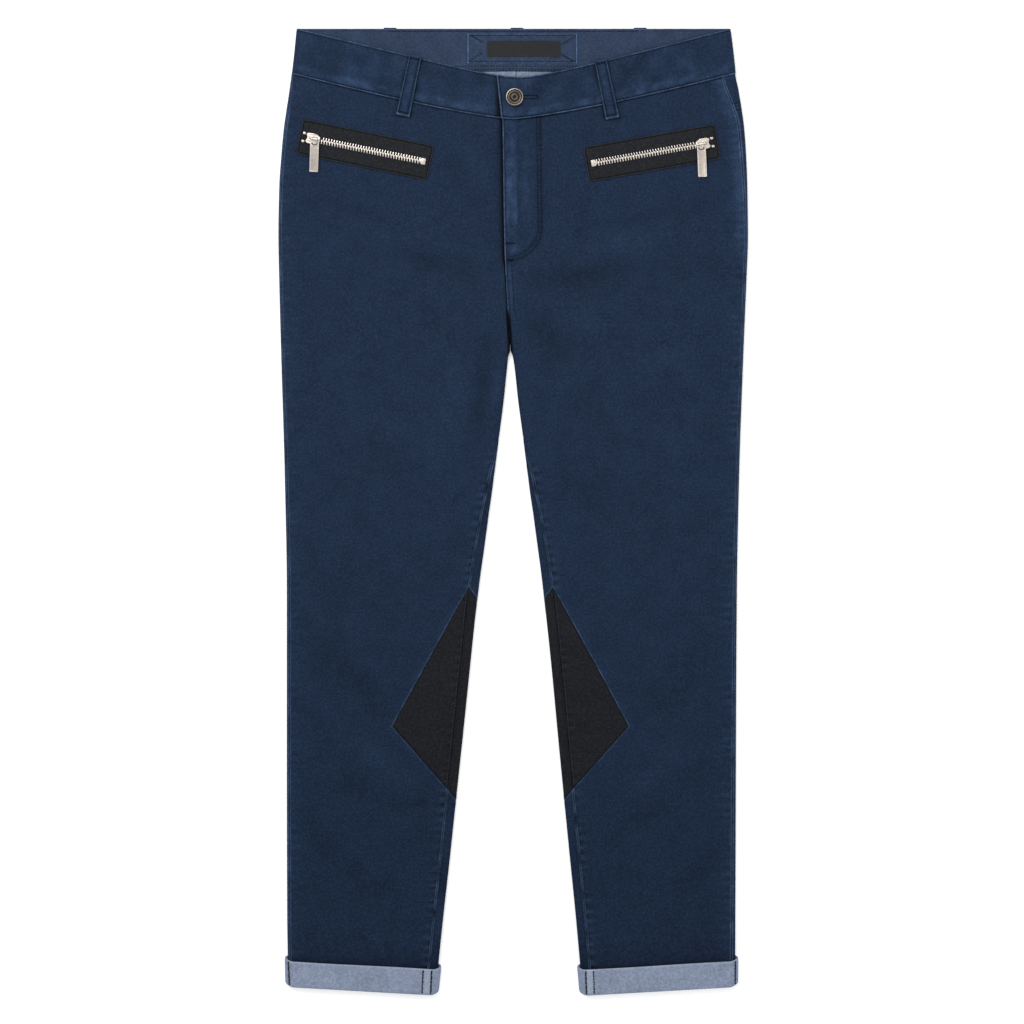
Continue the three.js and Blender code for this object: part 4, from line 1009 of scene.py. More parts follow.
def dressed(side, layer, s, station):
    """A panel's outer and inner points and its paint, at any places of its pattern."""
    place, inwards, down, share = lay(side, layer, s, station)
    x = place[..., 0]
    from_inner, from_side = seam_distances(side, layer, s, station)
    on_leg = smooth(*ON_LEG, down)
    seed = SEEDS["panel"][side]
    lift = edge_dip(from_inner) + edge_dip(from_side)
    wear = 0.46 * bell(from_inner - 0.65, 0.42) * on_leg * patchy(seed + 5, down, 0.2, 1.05, 16)
    rubbed = lerp(0.6, 0.4, smooth(150, 330, down)) * patchy(seed + 6, down, 0.45, 1.05, 24)
    wear = wear + rubbed * crest(from_side)
    # painted shade in the seams, and beside the inside-leg seam's worn crest
    deep = 0.75 * bell(from_inner, 0.45) + 0.6 * bell(from_side, 0.45)
    deep = deep + 0.3 * on_leg * bell(from_inner - 1.9, 0.8)
    # the legs darker towards the hems, and a painted highlight along the outer fold
    fade = lerp(*BODY_TONE, smooth(330, 900, down)) + 0.04 * bell(from_side, 12)
    inner_ridges = on_leg * pucker(from_inner, down, seed, 0.22, RIDGE_PERIOD)
    side_ridges = pucker(from_side, down, seed + 1, SIDE_RIDGES[side], RIDGE_PERIOD, 9)
    if layer == "front":
        from_top = down - band_seam(x)
        lift = lift + inner_ridges + side_ridges
        lift = lift - 0.3 * bell(from_top, 1.2) + pucker(from_top, x, seed + 2, 0.1, 13)
        if side == "left":
            lift = lift + fly_ridges(x, down)
            fade = fade + 0.26 * bell(from_side - 4, 4.5) * falling(190, 236, down)
        worn, faded, dark = front_centre(side, x - centre_front(down), x, down)
        wear, fade, deep = wear + worn, fade + faded, deep + dark
        # painted shadow under the band's lower edge and round the front loops
        deep = deep + 0.75 * bell(from_top, 1.1) + 0.6 * loop_shadow_mask(x, down)
        low = (creases(CREASES, x, down) + 0.15 * relief(x, down)) * in_front(share)
        # painted light on the crests and painted shade in the troughs of creases and seam ridges; the crests
        # are partly rubbed too
        for height, (light, dark) in zip((low, inner_ridges, side_ridges), SHADES):
            crest_wear_and_light, trough_shade = shaded(height, light, dark)
            fade, deep = fade + crest_wear_and_light, deep + trough_shade
    else:
        trough = creases(BACK_CREASES, x, down) * in_back(share)
        ridges = pucker(from_inner, down, seed + 3, 0.1, RIDGE_PERIOD, 4)
        lift = lift + on_leg * (seam_welt(from_inner, 0.28, 8) + ridges)
        lift = lift - UNDERSIDE * in_back(share) + trough
        # the yoke's seam, worn on its crest and with painted shade in it, painted shade in the back's crease
        # troughs, and painted shadow on the back rise behind the front's, where nothing pale may show through
        from_yoke = station - YOKE["side"]
        wear = wear + 0.45 * bell(from_yoke - 0.9, 0.5) * patchy(seed + 8, x, 0.3, 1.05, 14)
        shadow_behind_slit = bell(from_inner, 6) * bell(down - FORK + 24, 28)
        deep = deep - 0.4 * trough + 0.6 * bell(from_yoke, 1.1) + shadow_behind_slit
        fade = fade + 0.05 * ripple(seed + 7, x, down, 70)
    # painted shadow of the turn-up on the leg above it, darkest just above its top edge
    to_turn_up = HEM["down"] - HEM["turn_up"] - station
    deep = deep + 0.4 * np.exp(-np.maximum(to_turn_up, 0) / 9) + 0.45 * bell(to_turn_up - 0.6, 1.3)
    outer = place - inwards * lift[..., None]
    outer[..., 2] = np.maximum(outer[..., 2], FLOOR_CLEAR)
    inner = place + inwards * CLOTH
    if layer != "front":
        inner = inner - inwards * trough[..., None]
    return outer, inner, painted(wear, fade, deep)


def pattern_at(side, x, down):
    """The place in the front's pattern of a place on its flat top."""
    station = np.asarray(down, float)
    for _ in range(4):
        station = down - front_drop(x, side, station)
    _, inner, _, _, _ = half_row(side, "front", station)
    height = loft(station)
    return SIGN[side] * (x - inner) - FOLD + quarter(height), station


def on_pattern(side, layer, s, station):
    """A line on a panel's face, and the directions out of the cloth."""
    outer, inner, _ = dressed(side, layer, *together(s, station))
    return outer, unit(outer - inner)


def on_front(side, x, down):
    """Like on_pattern, for places on the front's flat top."""
    return on_pattern(side, "front", *pattern_at(side, *together(x, down)))


def front_height(x, down):
    """The height of the front's face on either side."""
    return np.where(
        x < centre_front(down),
        on_front("right", x, down)[0][..., 2],
        on_front("left", x, down)[0][..., 2],
    )


CUT_MARGIN = 5
CUT_OFFSETS = (0, 0.4, -0.4, 0.9, -0.9, 1.7, -1.7, 3, -3)


def cut_line(bm, a, b):
    """Cuts the pattern along the line from a to b, and on both sides of it."""
    along = (b - a) / np.hypot(*(b - a))
    normal = np.array([-along[1], along[0]])
    low = np.minimum(a, b) - CUT_MARGIN
    high = np.maximum(a, b) + CUT_MARGIN
    faces = []
    for f in bm.faces:
        c = f.calc_center_median()
        if low[0] < c.x < high[0] and low[1] < c.y < high[1]:
            faces.append(f)
    edges = {e for f in faces for e in f.edges}
    geom = faces + list(edges) + list({v for f in faces for v in f.verts})
    for offset in CUT_OFFSETS:
        at = a + normal * offset
        place, facing = (float(at[0]), float(at[1]), 0), (float(normal[0]), float(normal[1]), 0)
        geom = bmesh.ops.bisect_plane(bm, geom=geom, plane_co=place, plane_no=facing, dist=1e-5)["geom"]


def outside_distance(points, outline):
    """Distance outside a convex outline, negative inside it."""
    centre = np.mean(outline, axis=0)
    worst = np.full(len(points), -1e9)
    for a, b in zip(outline, np.roll(outline, -1, axis=0)):
        along = (b - a) / np.hypot(*(b - a))
        normal = np.array([along[1], -along[0]])
        if np.dot(centre - a, normal) > 0:
            normal = -normal
        worst = np.maximum(worst, (points - a) @ normal)
    return worst


def kite_outline(layer):
    """The kite in the pattern of one layer, past the inside-leg seam."""
    q = quarter(loft(KITE["outer"]))
    seam = q + KITE["seam"] - FOLD
    top, low = np.array([seam, KITE["top"]]), np.array([seam, KITE["bottom"]])
    if layer == "front":
        outer = np.array([seam + KITE["reach"], KITE["outer"]])
        return np.array([top - (outer - top) * 0.06, outer, low - (outer - low) * 0.06])
    edge_top, edge_low = np.array([0, KITE_EDGE["top"]]), np.array([0, KITE_EDGE["bottom"]])
    outer = np.array([-(q + KITE_EDGE["back_reach"] - FOLD), KITE["outer"]])
    return np.array([top + (top - edge_top) * 0.3, edge_top, outer, edge_low, low + (low - edge_low) * 0.3])


def rows_between(first, last):
    """A panel's stations, close together at both ends."""
    edge = np.array(NEAR_SEAM[:5])
    count = int(round((last - first - 4) / ROW_STEP))
    return np.concatenate([first + edge, np.linspace(first + 2.6, last - 2.6, count), last - edge[::-1]])


def panel_pattern(side, layer):
    """Every place of a panel's pattern, rows by columns."""
    last = YOKE["side"] - SEAM_HALF if layer == "yoke" else FOOT
    # tucked under the band, so no light comes through their seam
    tuck = YOKE_TUCK if layer == "yoke" else 0
    stations = rows_between(EDGE[layer] + SEAM_HALF - tuck, last)
    _, _, span, seam, side_seam = half_row(side, layer, stations)
    if layer == "front":
        first = seam + SEAM_HALF
        if side == "right":
            first = first - UNDER * falling(196, 220, stations)
        s = across(first, span - side_seam - SEAM_HALF, FLY_COLUMNS)
    else:
        s = across(seam - SEAM_HALF, -span - side_seam + SEAM_HALF, FOLD_COLUMNS)
    return s, np.broadcast_to(stations[:, None], s.shape)


def cut_pattern(s, station, outline):
    """A pattern's points and faces, cut along an outline."""
    bm = bmesh.new()
    verts = [bm.verts.new((a, b, 0)) for a, b in zip(s.ravel(), station.ravel())]
    for f in grid_faces(*s.shape):
        bm.faces.new([verts[i] for i in f])
    for a, b in zip(outline[:-1], outline[1:]):
        cut_line(bm, a, b)
    bm.verts.index_update()
    points = np.array([v.co[:2] for v in bm.verts])
    faces = [tuple(v.index for v in f.verts) for f in bm.faces]
    bm.free()
    return points, faces


def paint_kite(paint, away):
    """The kite's own cloth wears little, and has painted shade in the seam round it."""
    paint[:, 0] *= 0.35
    paint[:, 2] = np.maximum(paint[:, 2], 0.85 * bell(away, 0.7))


def paint_round_kite(paint, away, station):
    """The cloth round a kite has a worn crest, stronger above, a faintly faded rim, and painted shade in the
    seam.
    """
    upper = falling(KITE["outer"] - 8, KITE["outer"] + 8, station)
    worn = lerp(0.22, 0.5, upper) * bell(away - 0.75, 0.42) * patchy(23, station, 0.45, 1.0, 14)
    rim = 0.045 * hump(0.4, 1.4, 3.4, 6.2, away) * patchy(25, station, 0.4, 1, 26)
    paint[:, 0] = np.clip(paint[:, 0] + worn, 0, 1)
    paint[:, 1] = np.clip(paint[:, 1] + rim, 0, 1)
    paint[:, 2] = np.maximum(paint[:, 2], 0.8 * bell(away, 0.45))


def declare(piece, node_name, slot, area):
    """Hangs a cloth piece on the root body and hides the node that it stands for. Its flat cut's area
    is not used.
    """
    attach(piece, "root")
    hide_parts(node_name)


def dress_yoke(side):
    s, station = panel_pattern(side, "yoke")
    outer, inner, paint = dressed(side, "yoke", s, station)
    faces = grid_faces(*s.shape)
    made = shell(f"yoke_{side}_cloth", outer, inner, faces, [NAVY, PALE], paint)
    flat = (float(np.ptp(s, axis=1).max()), float(np.ptp(outer[..., 1])))
    area = cloth_area(outer.reshape(-1, 3), faces)
    declare(made, f"yoke_{side}", "coated_denim", area)


def dress_panel(side, layer):
    """A panel as cloth, and the kite let into it as a piece of its own."""
    outline = kite_outline(layer)
    points, faces = cut_pattern(*panel_pattern(side, layer), outline)
    centres = np.array([points[list(f)].mean(0) for f in faces])
    inside = outside_distance(centres, outline) < 0
    kite_away = outside_distance(points, outline)
    outer, inner, paint = dressed(side, layer, points[:, 0], points[:, 1])
    uneven = 0.22 * ripple(41, *points.T, 34) + 0.14 * ripple(43, *points.T, 17)
    crumple = smooth(1, 14, -kite_away) * uneven
    lift = edge_dip(np.abs(kite_away)) * 0.8 + crumple * (layer == "front")
    outer = outer + unit(outer - inner) * lift[:, None]
    outer[:, 2] = np.maximum(outer[:, 2], FLOOR_CLEAR)
    for is_kite in (False, True):
        chosen = [f for f, within in zip(faces, inside) if within == is_kite]
        used = np.unique(np.concatenate([np.array(f) for f in chosen]))
        renumber = np.zeros(len(points), int)
        renumber[used] = np.arange(len(used))
        own = [tuple(int(renumber[v]) for v in f) for f in chosen]
        away, own_paint = kite_away[used], paint[used].copy()
        if is_kite:
            paint_kite(own_paint, away)
            node_name, slot, materials = f"knee_kite_{layer}_{side}", "black_panel", [BLACK, BLACK]
        else:
            paint_round_kite(own_paint, away, points[used, 1])
            node_name, slot, materials = f"{layer}_{side}", "coated_denim", [NAVY, PALE]
        made = shell(f"{node_name}_cloth", outer[used], inner[used], own, materials, own_paint)
        flat = (float(np.ptp(points[used, 0])), float(np.ptp(outer[used, 1])))
        declare(made, node_name, slot, cloth_area(outer[used], own))


# ------------------------------------------------------------------ waistband
# The band's rows near its edges, the round of its edges, its rows between them, how far its stitches
# lie from its edges, and its columns round a side fold.
BAND_EDGE = (0, 0.12, 0.3, 0.55, 0.9, 1.3, 1.8, 2.4, 3.2, 4.4)
BAND_ROUND = 0.9
BAND_ROWS = 16
BAND_INSET = 2.0
BAND_FOLD = np.linspace(9, -9, 17)


def edge_round(distance, radius):
    """How far a face falls away in the round of its edge."""
    t = np.clip(1 - distance / radius, 0, 1)
    return radius * (1 - np.sqrt(np.clip(1 - t * t, 0, 1)))


def band_ends(side, h):
    """The way from the side fold to the band's front end and to the middle of the back."""
    sign = SIGN[side]
    edge = sign * outer_edge[side](h * BAND_SEAM["side"])
    q = quarter(BAND_LOFT)
    front_end = lerp(*BAND_END[side], h)
    middle = CENTRE_BACK["waist"] + sign * SEAM_HALF
    return np.abs(edge - front_end) - FOLD + q, -(np.abs(edge - middle) - FOLD + q)


def band_groove(distance):
    """The groove that a row of stitches presses beside an edge."""
    return 0.16 * bell(distance - BAND_INSET, 0.9)


def near_lap(x):
    """1 where the band's left end laps over its right end, and 0 further off."""
    return falling(LAP["from"], LAP["to"], np.abs(x + LAP["middle"]))


def band(side, way, h):
    """The waistband's outer and inner points and paint. way runs from the side fold, positive over
    the top, and h from the top edge, 0, to the seam, 1."""
    way, h = together(way, h)
    sign = SIGN[side]
    edge = sign * outer_edge[side](h * BAND_SEAM["side"])
    inward, z, nx, nz = fold_at(way, BAND_LOFT)
    x = edge - sign * inward
    low = np.where(way > 0, band_seam(x), back_seam(x)) - SEAM_HALF
    high = np.where(way > 0, top_edge(x), 0)
    down = lerp(high, low, h)
    share = z / BAND_LOFT
    lap = near_lap(x) * (LAP["rise"] if side == "left" else -LAP["sink"])
    z = z + (lap + BAND_CROWN * np.sin(math.pi * h)) * smooth(0.6, 1, share)
    z = z + loop_lift(down) * over_loops(share)
    place = points_at(x, down, z)
    inwards = np.stack([-sign * nx, np.zeros_like(nx), nz], -1)
    tall = low - high
    from_top, from_seam = h * tall, (1 - h) * tall
    front_end, back_end = band_ends(side, h)
    from_end, from_middle = front_end - way, way - back_end
    fall = edge_round(np.minimum(from_top, from_seam), BAND_ROUND)
    fall = np.maximum(fall, edge_round(from_end, BAND_ROUND))
    on_top = smooth(0.6, 1, share)
    seed = SEEDS["band"][side]
    lift = -fall - band_groove(from_top) - band_groove(from_seam)
    lift = lift + pucker(from_seam, x, seed, 0.16, 10, 9) + pucker(from_top, x, seed + 1, 0.1, 12, 7)
    sag = ripple(seed + 2, x, down, 26) * smooth(2, 7, np.minimum(from_top, from_seam))
    lift = lift + 0.16 * on_top * sag
    lift = lift - 0.5 * bell(from_middle, 0.5) - 0.25 * in_back(share)
    wear = 0.62 * bell(from_top - 0.6, 0.5) * patchy(seed + 3, x, 0.3, 1.05, 9)
    wear = wear + 0.62 * bell(from_seam - 0.8, 0.5) * patchy(seed + 4, x, 0.3, 1.1, 14)
    wear = wear + 0.6 * bell(from_end - 0.8, 0.55) * patchy(seed + 5, down, 0.5, 1.1) * (side == "left")
    fade = 0.2 + 0.06 * ripple(seed + 6, x, down, 60) + 0.07 * ripple(seed + 8, x, down, 24)
    fade = fade + 0.07 * bell(x - BUTTON["x"], 16) * (side == "left") * on_top
    blotches = np.clip(0.5 + 0.6 * ripple(seed + 7, x, from_seam * 1.3, 15), 0, 1)
    fade = fade + 0.32 * blotches * hump(2.4, 4, 8, 12, from_seam)
    # painted shade in the grooves of the band's stitch rows, round the front loops and beside the left end's
    # row
    deep = 0.3 * bell(from_top - BAND_INSET, 0.6) + 0.5 * bell(from_seam - BAND_INSET, 0.6)
    deep = deep + 0.6 * loop_shadow_mask(x, down) * on_top + 0.5 * bell(from_end - 2.4, 0.7) * (side == "left")
    # painted shadow on the right band where the left end laps over it
    if side == "right":
        hidden = np.maximum(x - BAND_END["left"][0] + 3.5, 0)
        deep = deep + on_top * smooth(0, 4, hidden)
    outer = place - inwards * lift[..., None]
    outer[..., 2] = np.maximum(outer[..., 2], FLOOR_CLEAR)
    thick = BAND_CLOTH - edge_round(np.minimum(from_top, from_seam), BAND_ROUND) * 0.8
    inner = place + inwards * thick[..., None]
    return outer, inner, painted(wear, fade, deep)


def band_heights():
    """Rows of the band, from its top edge, 0, to its seam, 1."""
    edge = np.array(BAND_EDGE) / BAND_SEAM["side"]
    middle = np.linspace(edge[-1], 1 - edge[-1], BAND_ROWS + 2)[1:-1]
    return np.concatenate([edge, middle, 1 - edge[::-1]])


def waistband(side):
    h = band_heights()
    front_end, back_end = band_ends(side, h)
    ones = np.ones_like(h)
    front_part = across(front_end, BAND_FOLD[0] * ones)[:, : -len(NEAR_SEAM)]
    back_part = across(back_end, BAND_FOLD[-1] * ones)[:, : -len(NEAR_SEAM)][:, ::-1]
    way = np.concatenate([front_part, ones[:, None] * BAND_FOLD, back_part], axis=1)
    outer, inner, paint = band(side, way, h[:, None])
    faces = grid_faces(*way.shape)
    made = shell(f"waistband_{side}_cloth", outer, inner, faces, [NAVY, INSIDE], paint)
    flat = (float(np.ptp(way, axis=1).max()), BAND_SEAM["side"])
    area = min(cloth_area(outer.reshape(-1, 3), faces), flat[0] * flat[1])
    declare(made, f"waistband_{side}", "coated_denim", area)


def band_row(side, way, h):
    """A line for stitches on the band's outer face, and the directions out of the cloth."""
    outer, inner, _ = band(side, way, h)
    return outer, unit(outer - inner)


# ------------------------------------------------------------------ turn-ups
# how far the turned-up face stands outside the leg's, and the rows of its section from its top edge down
TURN_THICK = 1.8
TURN_FACE = np.concatenate([[23.9, 23.1], np.arange(22.1, 3, -1.5), [2.4]])
# Overlocking down the turn-up's face: where each line is at the top edge and at the fold. The last two
# go along the edges of the folded inside-leg seam.
SERGED = {
    "right": ((-214.4, -213.4), (-86, -87.2), (-78, -79)),
    "left": ((211.9, 211.7), (77, 78), (69.6, 70.6)),
}


STRIP = {"rise": 0.45, "edge": 1.2}  # the folded inside-leg seam, which shows on the turn-up


def hem_round():
    """Places round a leg at its hem: (share of the flat part, way round the fold, which part)."""
    height = loft(HEM["down"])
    q = quarter(height) + 1
    folds = np.linspace(-q, q, 25)
    flat = np.linspace(0, 1, 34)[1:-1]
    outer = [(0, w, "outer") for w in folds]
    top = [(t, q, "flat") for t in flat]
    inner = [(1, w, "inner") for w in folds[::-1]]
    under = [(t, -q, "flat") for t in flat[::-1]]
    return outer + top + inner + under


def turn_profile():
    """The turned-up cloth's section: how far outside the leg's face, and how far above the fold."""
    inner = [(-1.15, 0.9), (-1.15, 1.8), (-1.15, 2.7), (0, 2.7), (0.3, 3.1), (0.6, 3.9)]
    back = [(0.6, a) for a in np.linspace(8, 23.3, 5)]
    top = [(0.66, 24.2), (0.86, 24.75), (1.2, 25), (1.55, 24.8), (1.74, 24.4)]
    face = [(TURN_THICK, a) for a in TURN_FACE]
    bottom = [(1.68, 1.5), (1.38, 0.75), (0.95, 0.25), (0.4, 0), (-0.2, 0.06), (-0.8, 0.4)]
    return np.array(inner + back + top + face + bottom)


def turn_place(side, round_at, profile):
    """The turn-up's points at places round the leg and along its section."""
    sign = SIGN[side]
    height = loft(HEM["down"])
    share_flat = np.array([r[0] for r in round_at])[:, None]
    ways = np.array([r[1] for r in round_at])
    kind = np.array([r[2] for r in round_at])[:, None]
    inward, z, nx, nz = (a[:, None] for a in fold_at(ways, height))
    off, above = profile.T[:, None]
    widest = sign * outer_edge[side](HEM["down"])

    def x_at(outer, inner):
        reach = sign * (FOLD + 1)
        flat = lerp(outer - reach, inner + reach, share_flat)
        folds = np.where(kind == "outer", outer - sign * inward, inner + sign * inward)
        return np.where(kind == "flat", flat, folds)

    turn = np.where(kind == "inner", sign, -sign)
    drop = HEM["slant"] * sign * (widest - x_at(widest, inner_edge[side](HEM["down"])))
    down = HEM["down"] + drop - above
    x = x_at(sign * outer_edge[side](down), inner_edge[side](down))
    on_face = smooth(1.2, 1.7, off) * smooth(0.5, 2.5, above)
    ease = 0.14 * ripple(61, x, down, 30) + 0.07 * ripple(63, x, down, 11)
    for at_top, at_foot in SERGED[side]:
        line = lerp(at_foot, at_top, above / HEM["turn_up"])
        ease = ease - 0.3 * bell(x - line, 0.9)
    strip_at = [lerp(b, a, above / HEM["turn_up"]) for a, b in SERGED[side][1:]]
    past_low, past_high = x - np.minimum(*strip_at), np.maximum(*strip_at) - x
    within = smooth(0, STRIP["edge"], past_low) * smooth(0, STRIP["edge"], past_high)
    top_side = smooth(0.5, 1, z / height)
    ease = (ease + STRIP["rise"] * within) * on_face * top_side
    waves = 0.2 * np.sin(x / 23) * smooth(20, 24, above) * top_side
    rise = HEM["rise"] * (1 - z / height)
    px = x - turn * nx * (off + ease + HEM["over"] * np.abs(nx) * smooth(0, 0.6, off))
    pz = z + HEM_LIFT - nz * (off + ease)
    place = np.stack([px, to_y(down) + rise + waves, np.maximum(pz, FLOOR_CLEAR)], -1)
    up = np.stack(np.broadcast_arrays(-turn * nx, np.zeros_like(px), -nz + 0 * px), -1)
    wear = (0.4 * within + 0.4 * bell(above - 24.2, 0.8) + 0.3 * bell(above, 1.4)) * on_face
    deep = 0.08 * (1 - within) * bell(np.abs(x - strip_at[0]) - 6, 6) * on_face
    return place, up, painted(wear, 0.25, deep)


def turn_up(side):
    place, _, paint = turn_place(side, hem_round(), turn_profile())
    count, around, _ = place.shape
    faces = grid_faces(count + 1, around, close=True)
    faces = [[v % (count * around) for v in f] for f in faces]
    points = place.reshape(-1, 3)
    a, b, c = (points[[f[k] for f in faces]] for k in range(3))
    if (np.cross(b - a, c - a) * a).sum() < 0:
        faces = [f[::-1] for f in faces]
    made = new_object(f"turn_up_{side}_cloth", points, faces, [PALE], paint=paint.reshape(-1, 4), sharp=60)
    # measured once round the leg on its face, and once round its section on the flat
    on_face, on_flat = 20, 40
    around_leg = length_of(np.concatenate([place[:, on_face], place[:1, on_face]]))
    tall = length_of(np.concatenate([place[on_flat], place[on_flat, :1]])) / 2
    declare(made, f"turn_up_{side}", "wrong_side", None)


def serged_lines(side):
    """Dark overlocking down the turn-up's face."""
    height = loft(HEM["down"])
    q = quarter(height) + 1
    sign = SIGN[side]
    rows = []
    for k, (at_top, at_foot) in enumerate(SERGED[side]):
        points, ups = [], []
        for above in np.linspace(23.6, 1.6, 16):
            want = lerp(at_foot, at_top, above / HEM["turn_up"]) + 0.14 * math.sin(above * 1.1 + k)
            outer = sign * outer_edge[side](HEM["down"] - above)
            inner = inner_edge[side](HEM["down"] - above)
            inset = (outer - want) * sign
            reach = sign * (FOLD + 1)
            flat = 1 / (outer - inner - 2 * reach)
            share, way, kind = (outer - reach - want) * flat, q, "flat"
            if inset < FOLD + 1:
                share, way, kind = 0, float(way_of(inset, height)), "outer"
            for _ in range(2):
                place, up, _ = turn_place(side, [(share, way, kind)], np.array([[TURN_THICK, above]]))
                share = share - (want - place[0, 0, 0]) * flat
            points.append(place[0, 0])
            ups.append(up[0, 0])
        rows.append(stitches(np.array(points), np.array(ups), "serged", 71 + k))
    return rows


# ------------------------------------------------------------------ flat pieces on the cloth
def slab(name, x, down, base, thick, from_edge, cloth, round_by, relief, paint):
    """A flat piece with rounded edges that follows what it lies on."""
    top = base + thick - edge_round(from_edge, round_by) + relief
    outer, inner = points_at(x, down, top), points_at(x, down, base + 0 * top)
    return shell(name, outer, inner, grid_faces(*x.shape), [cloth, cloth], paint), outer


def dense_ends(half, near, step):
    """Places from -half to half, closer together at both ends."""
    near = np.array(near)
    count = max(2, int((2 * half - 2 * near[-1]) / step))
    middle = np.linspace(-half + near[-1], half - near[-1], count + 2)[1:-1]
    return np.concatenate([-half + near, middle, half - near[::-1]])


def round_rectangle(width, height, corner, near, step):
    """A grid over a rectangle with round corners, and the distance from its edge."""
    a, b = width / 2, height / 2
    u = dense_ends(a, near, step)[:, None]
    past = np.clip(np.abs(u) - (a - corner), 0, corner)
    reach = b - corner + np.sqrt(np.maximum(corner**2 - past**2, (0.12 * corner) ** 2))
    v = dense_ends(1, np.array(near) / b, step / b)[None] * reach
    u = u + 0 * v
    qx, qy = np.abs(u) - (a - corner), np.abs(v) - (b - corner)
    outside = np.hypot(np.maximum(qx, 0), np.maximum(qy, 0))
    away = corner - outside - np.minimum(np.maximum(qx, qy), 0)
    return u, v, np.maximum(away, 0)


def round_outline(width, height, corner, step):
    """Points round a rectangle with round corners."""
    a, b = width / 2 - corner, height / 2 - corner
    points = []
    for k, (cx, cy) in enumerate(((a, b), (-a, b), (-a, -b), (a, -b))):
        for t in np.linspace(0, math.pi / 2, 6):
            angle = t + k * math.pi / 2
            points.append((cx + corner * math.cos(angle), cy + corner * math.sin(angle)))
    line = np.array(points + points[:1])
    return walk(line, np.arange(0, length_of(line), step), line)


# a flat piece's rows near its edge
SLAB_NEAR = (0, 0.1, 0.25, 0.45, 0.7, 1.0, 1.5, 2.0, 2.6, 3.4)


def pocket_axes(side):
    """A pocket's long way, towards its slider, and its short way up."""
    tilt = math.radians(POCKETS[side][2])
    along = np.array([SIGN[side] * math.cos(tilt), -math.sin(tilt)])
    up = np.array([-SIGN[side] * math.sin(tilt), -math.cos(tilt)])
    return along, up


def pocket_place(side, a, b):
    """Turns a pocket's own places into the garment's x and down."""
    along, up = pocket_axes(side)
    x0, down0 = POCKETS[side][:2]
    return x0 + along[0] * a + up[0] * b, down0 + along[1] * a + up[1] * b


# a pocket's patch: its underside and its face above the front's, its stitches' inset, the zip's ridge
PATCH = {"low": 0.12, "top": 1.2, "inset": 1.7, "ridge": 0.22}


def patch_relief(side, u, v):
    """The ridge that the zip makes along the patch, and its uneven face."""
    x, down = pocket_place(side, u, v)
    ridge = PATCH["ridge"] * (bell(v, 4.6) - 0.7 * bell(np.abs(v) - 6.3, 0.9))
    return ridge + 0.08 * ripple(81, x, down, 24)


def pocket_patch(side):
    u, v, away = round_rectangle(POCKET["length"], POCKET["width"], POCKET["corner"], SLAB_NEAR, 2.4)
    x, down = pocket_place(side, u, v)
    base = front_height(x, down) + PATCH["low"]
    groove = -0.2 * bell(away - PATCH["inset"], 0.6) + 0.07 * np.sin((u + v) * 2.1) * bell(away - 0.9, 0.7)
    relief = (patch_relief(side, u, v) + groove) * smooth(0, 1, away)
    piping = falling(PATCH["inset"] - 0.7, PATCH["inset"] - 0.2, away)
    # painted shade in the groove of the patch's stitches
    paint = painted(0.15 * bell(away - 0.6, 0.5), 0.35 * piping, 0.75 * bell(away - PATCH["inset"], 0.5))
    thick = PATCH["top"] - PATCH["low"]
    name = f"zip_patch_{side}_cloth"
    made, _ = slab(name, x, down, base, thick, away, PATCH_BLACK, 0.5, relief, paint)
    declare(made, f"zip_patch_{side}", "black_panel", None)


def on_patch(side, u, v):
    """A line on the patch's face."""
    x, down = pocket_place(side, u, v)
    z = front_height(x, down) + PATCH["top"] + patch_relief(side, u, v) - THREAD_SUNK
    place = points_at(x, down, z)
    return place, upward(place)


def patch_stitches(side):
    inset = 2 * PATCH["inset"]
    outline = round_outline(POCKET["length"] - inset, POCKET["width"] - inset, 2, 1.5)
    rows = [stitches(*on_patch(side, *outline.T), "patch", 83)]
    half = POCKET["length"] / 2 - 4.2
    for end in (-half, half):
        v = np.linspace(-3.2, 3.2, 12)
        rows.append(stitches(*on_patch(side, end + 0 * v, v), "patch_tack", 85))
    return rows


def strip_grid(top, foot, width, foot_width):
    """A strip's grid along the line from top to foot: x, down, share along it, across as if it were
    "width" wide all the way, and from_edge."""
    (x1, d1), (x2, d2) = top, foot
    length = math.hypot(x2 - x1, d2 - d1)
    t = (dense_ends(length / 2, SLAB_NEAR, 2.2) / length + 0.5)[:, None]
    across = dense_ends(width / 2, (0, 0.12, 0.3, 0.55, 0.9, 1.3, 1.8, 2.4), 1.1)[None]
    ax, ad = -(d2 - d1) / length, (x2 - x1) / length
    wider = lerp(1, foot_width / width, t)
    x = lerp(x1, x2, t) + ax * across * wider
    down = lerp(d1, d2, t) + ad * across * wider
    from_edge = np.minimum(width / 2 - np.abs(across), np.minimum(t, 1 - t) * length)
    return x, down, t + 0 * across, across + 0 * t, from_edge


def band_face(x):
    """The height of the band's crowned face on the front."""
    lap = near_lap(x) * np.where(x > BAND_END["left"][1], LAP["rise"], -LAP["sink"])
    return BAND_LOFT + BAND_CROWN + lap


def loop_base(x, down, t):
    """What a front loop lies on: the band's face, then the front's, with the loop standing off it."""
    seam = band_seam(x)
    base = lerp(band_face(x), front_height(x, down), smooth(seam + 1.5, seam + 5, down))
    return base + 0.25 + LOOP["bulge"] * np.sin(math.pi * t) ** 0.7


LOOP_INSET = 1.9


def loop_shape(across, t, length):
    """Low relief of a loop: its stitch grooves and the thick folded ends."""
    groove = -0.16 * bell(np.abs(across) - (LOOP["width"] / 2 - LOOP_INSET), 0.55)
    ends = 0.3 * (bell(t * length - 3, 3) + bell((1 - t) * length - 3, 3))
    return groove + ends + 0.06 * np.sin(t * length * 1.1) * bell(np.abs(across) - 3, 2)


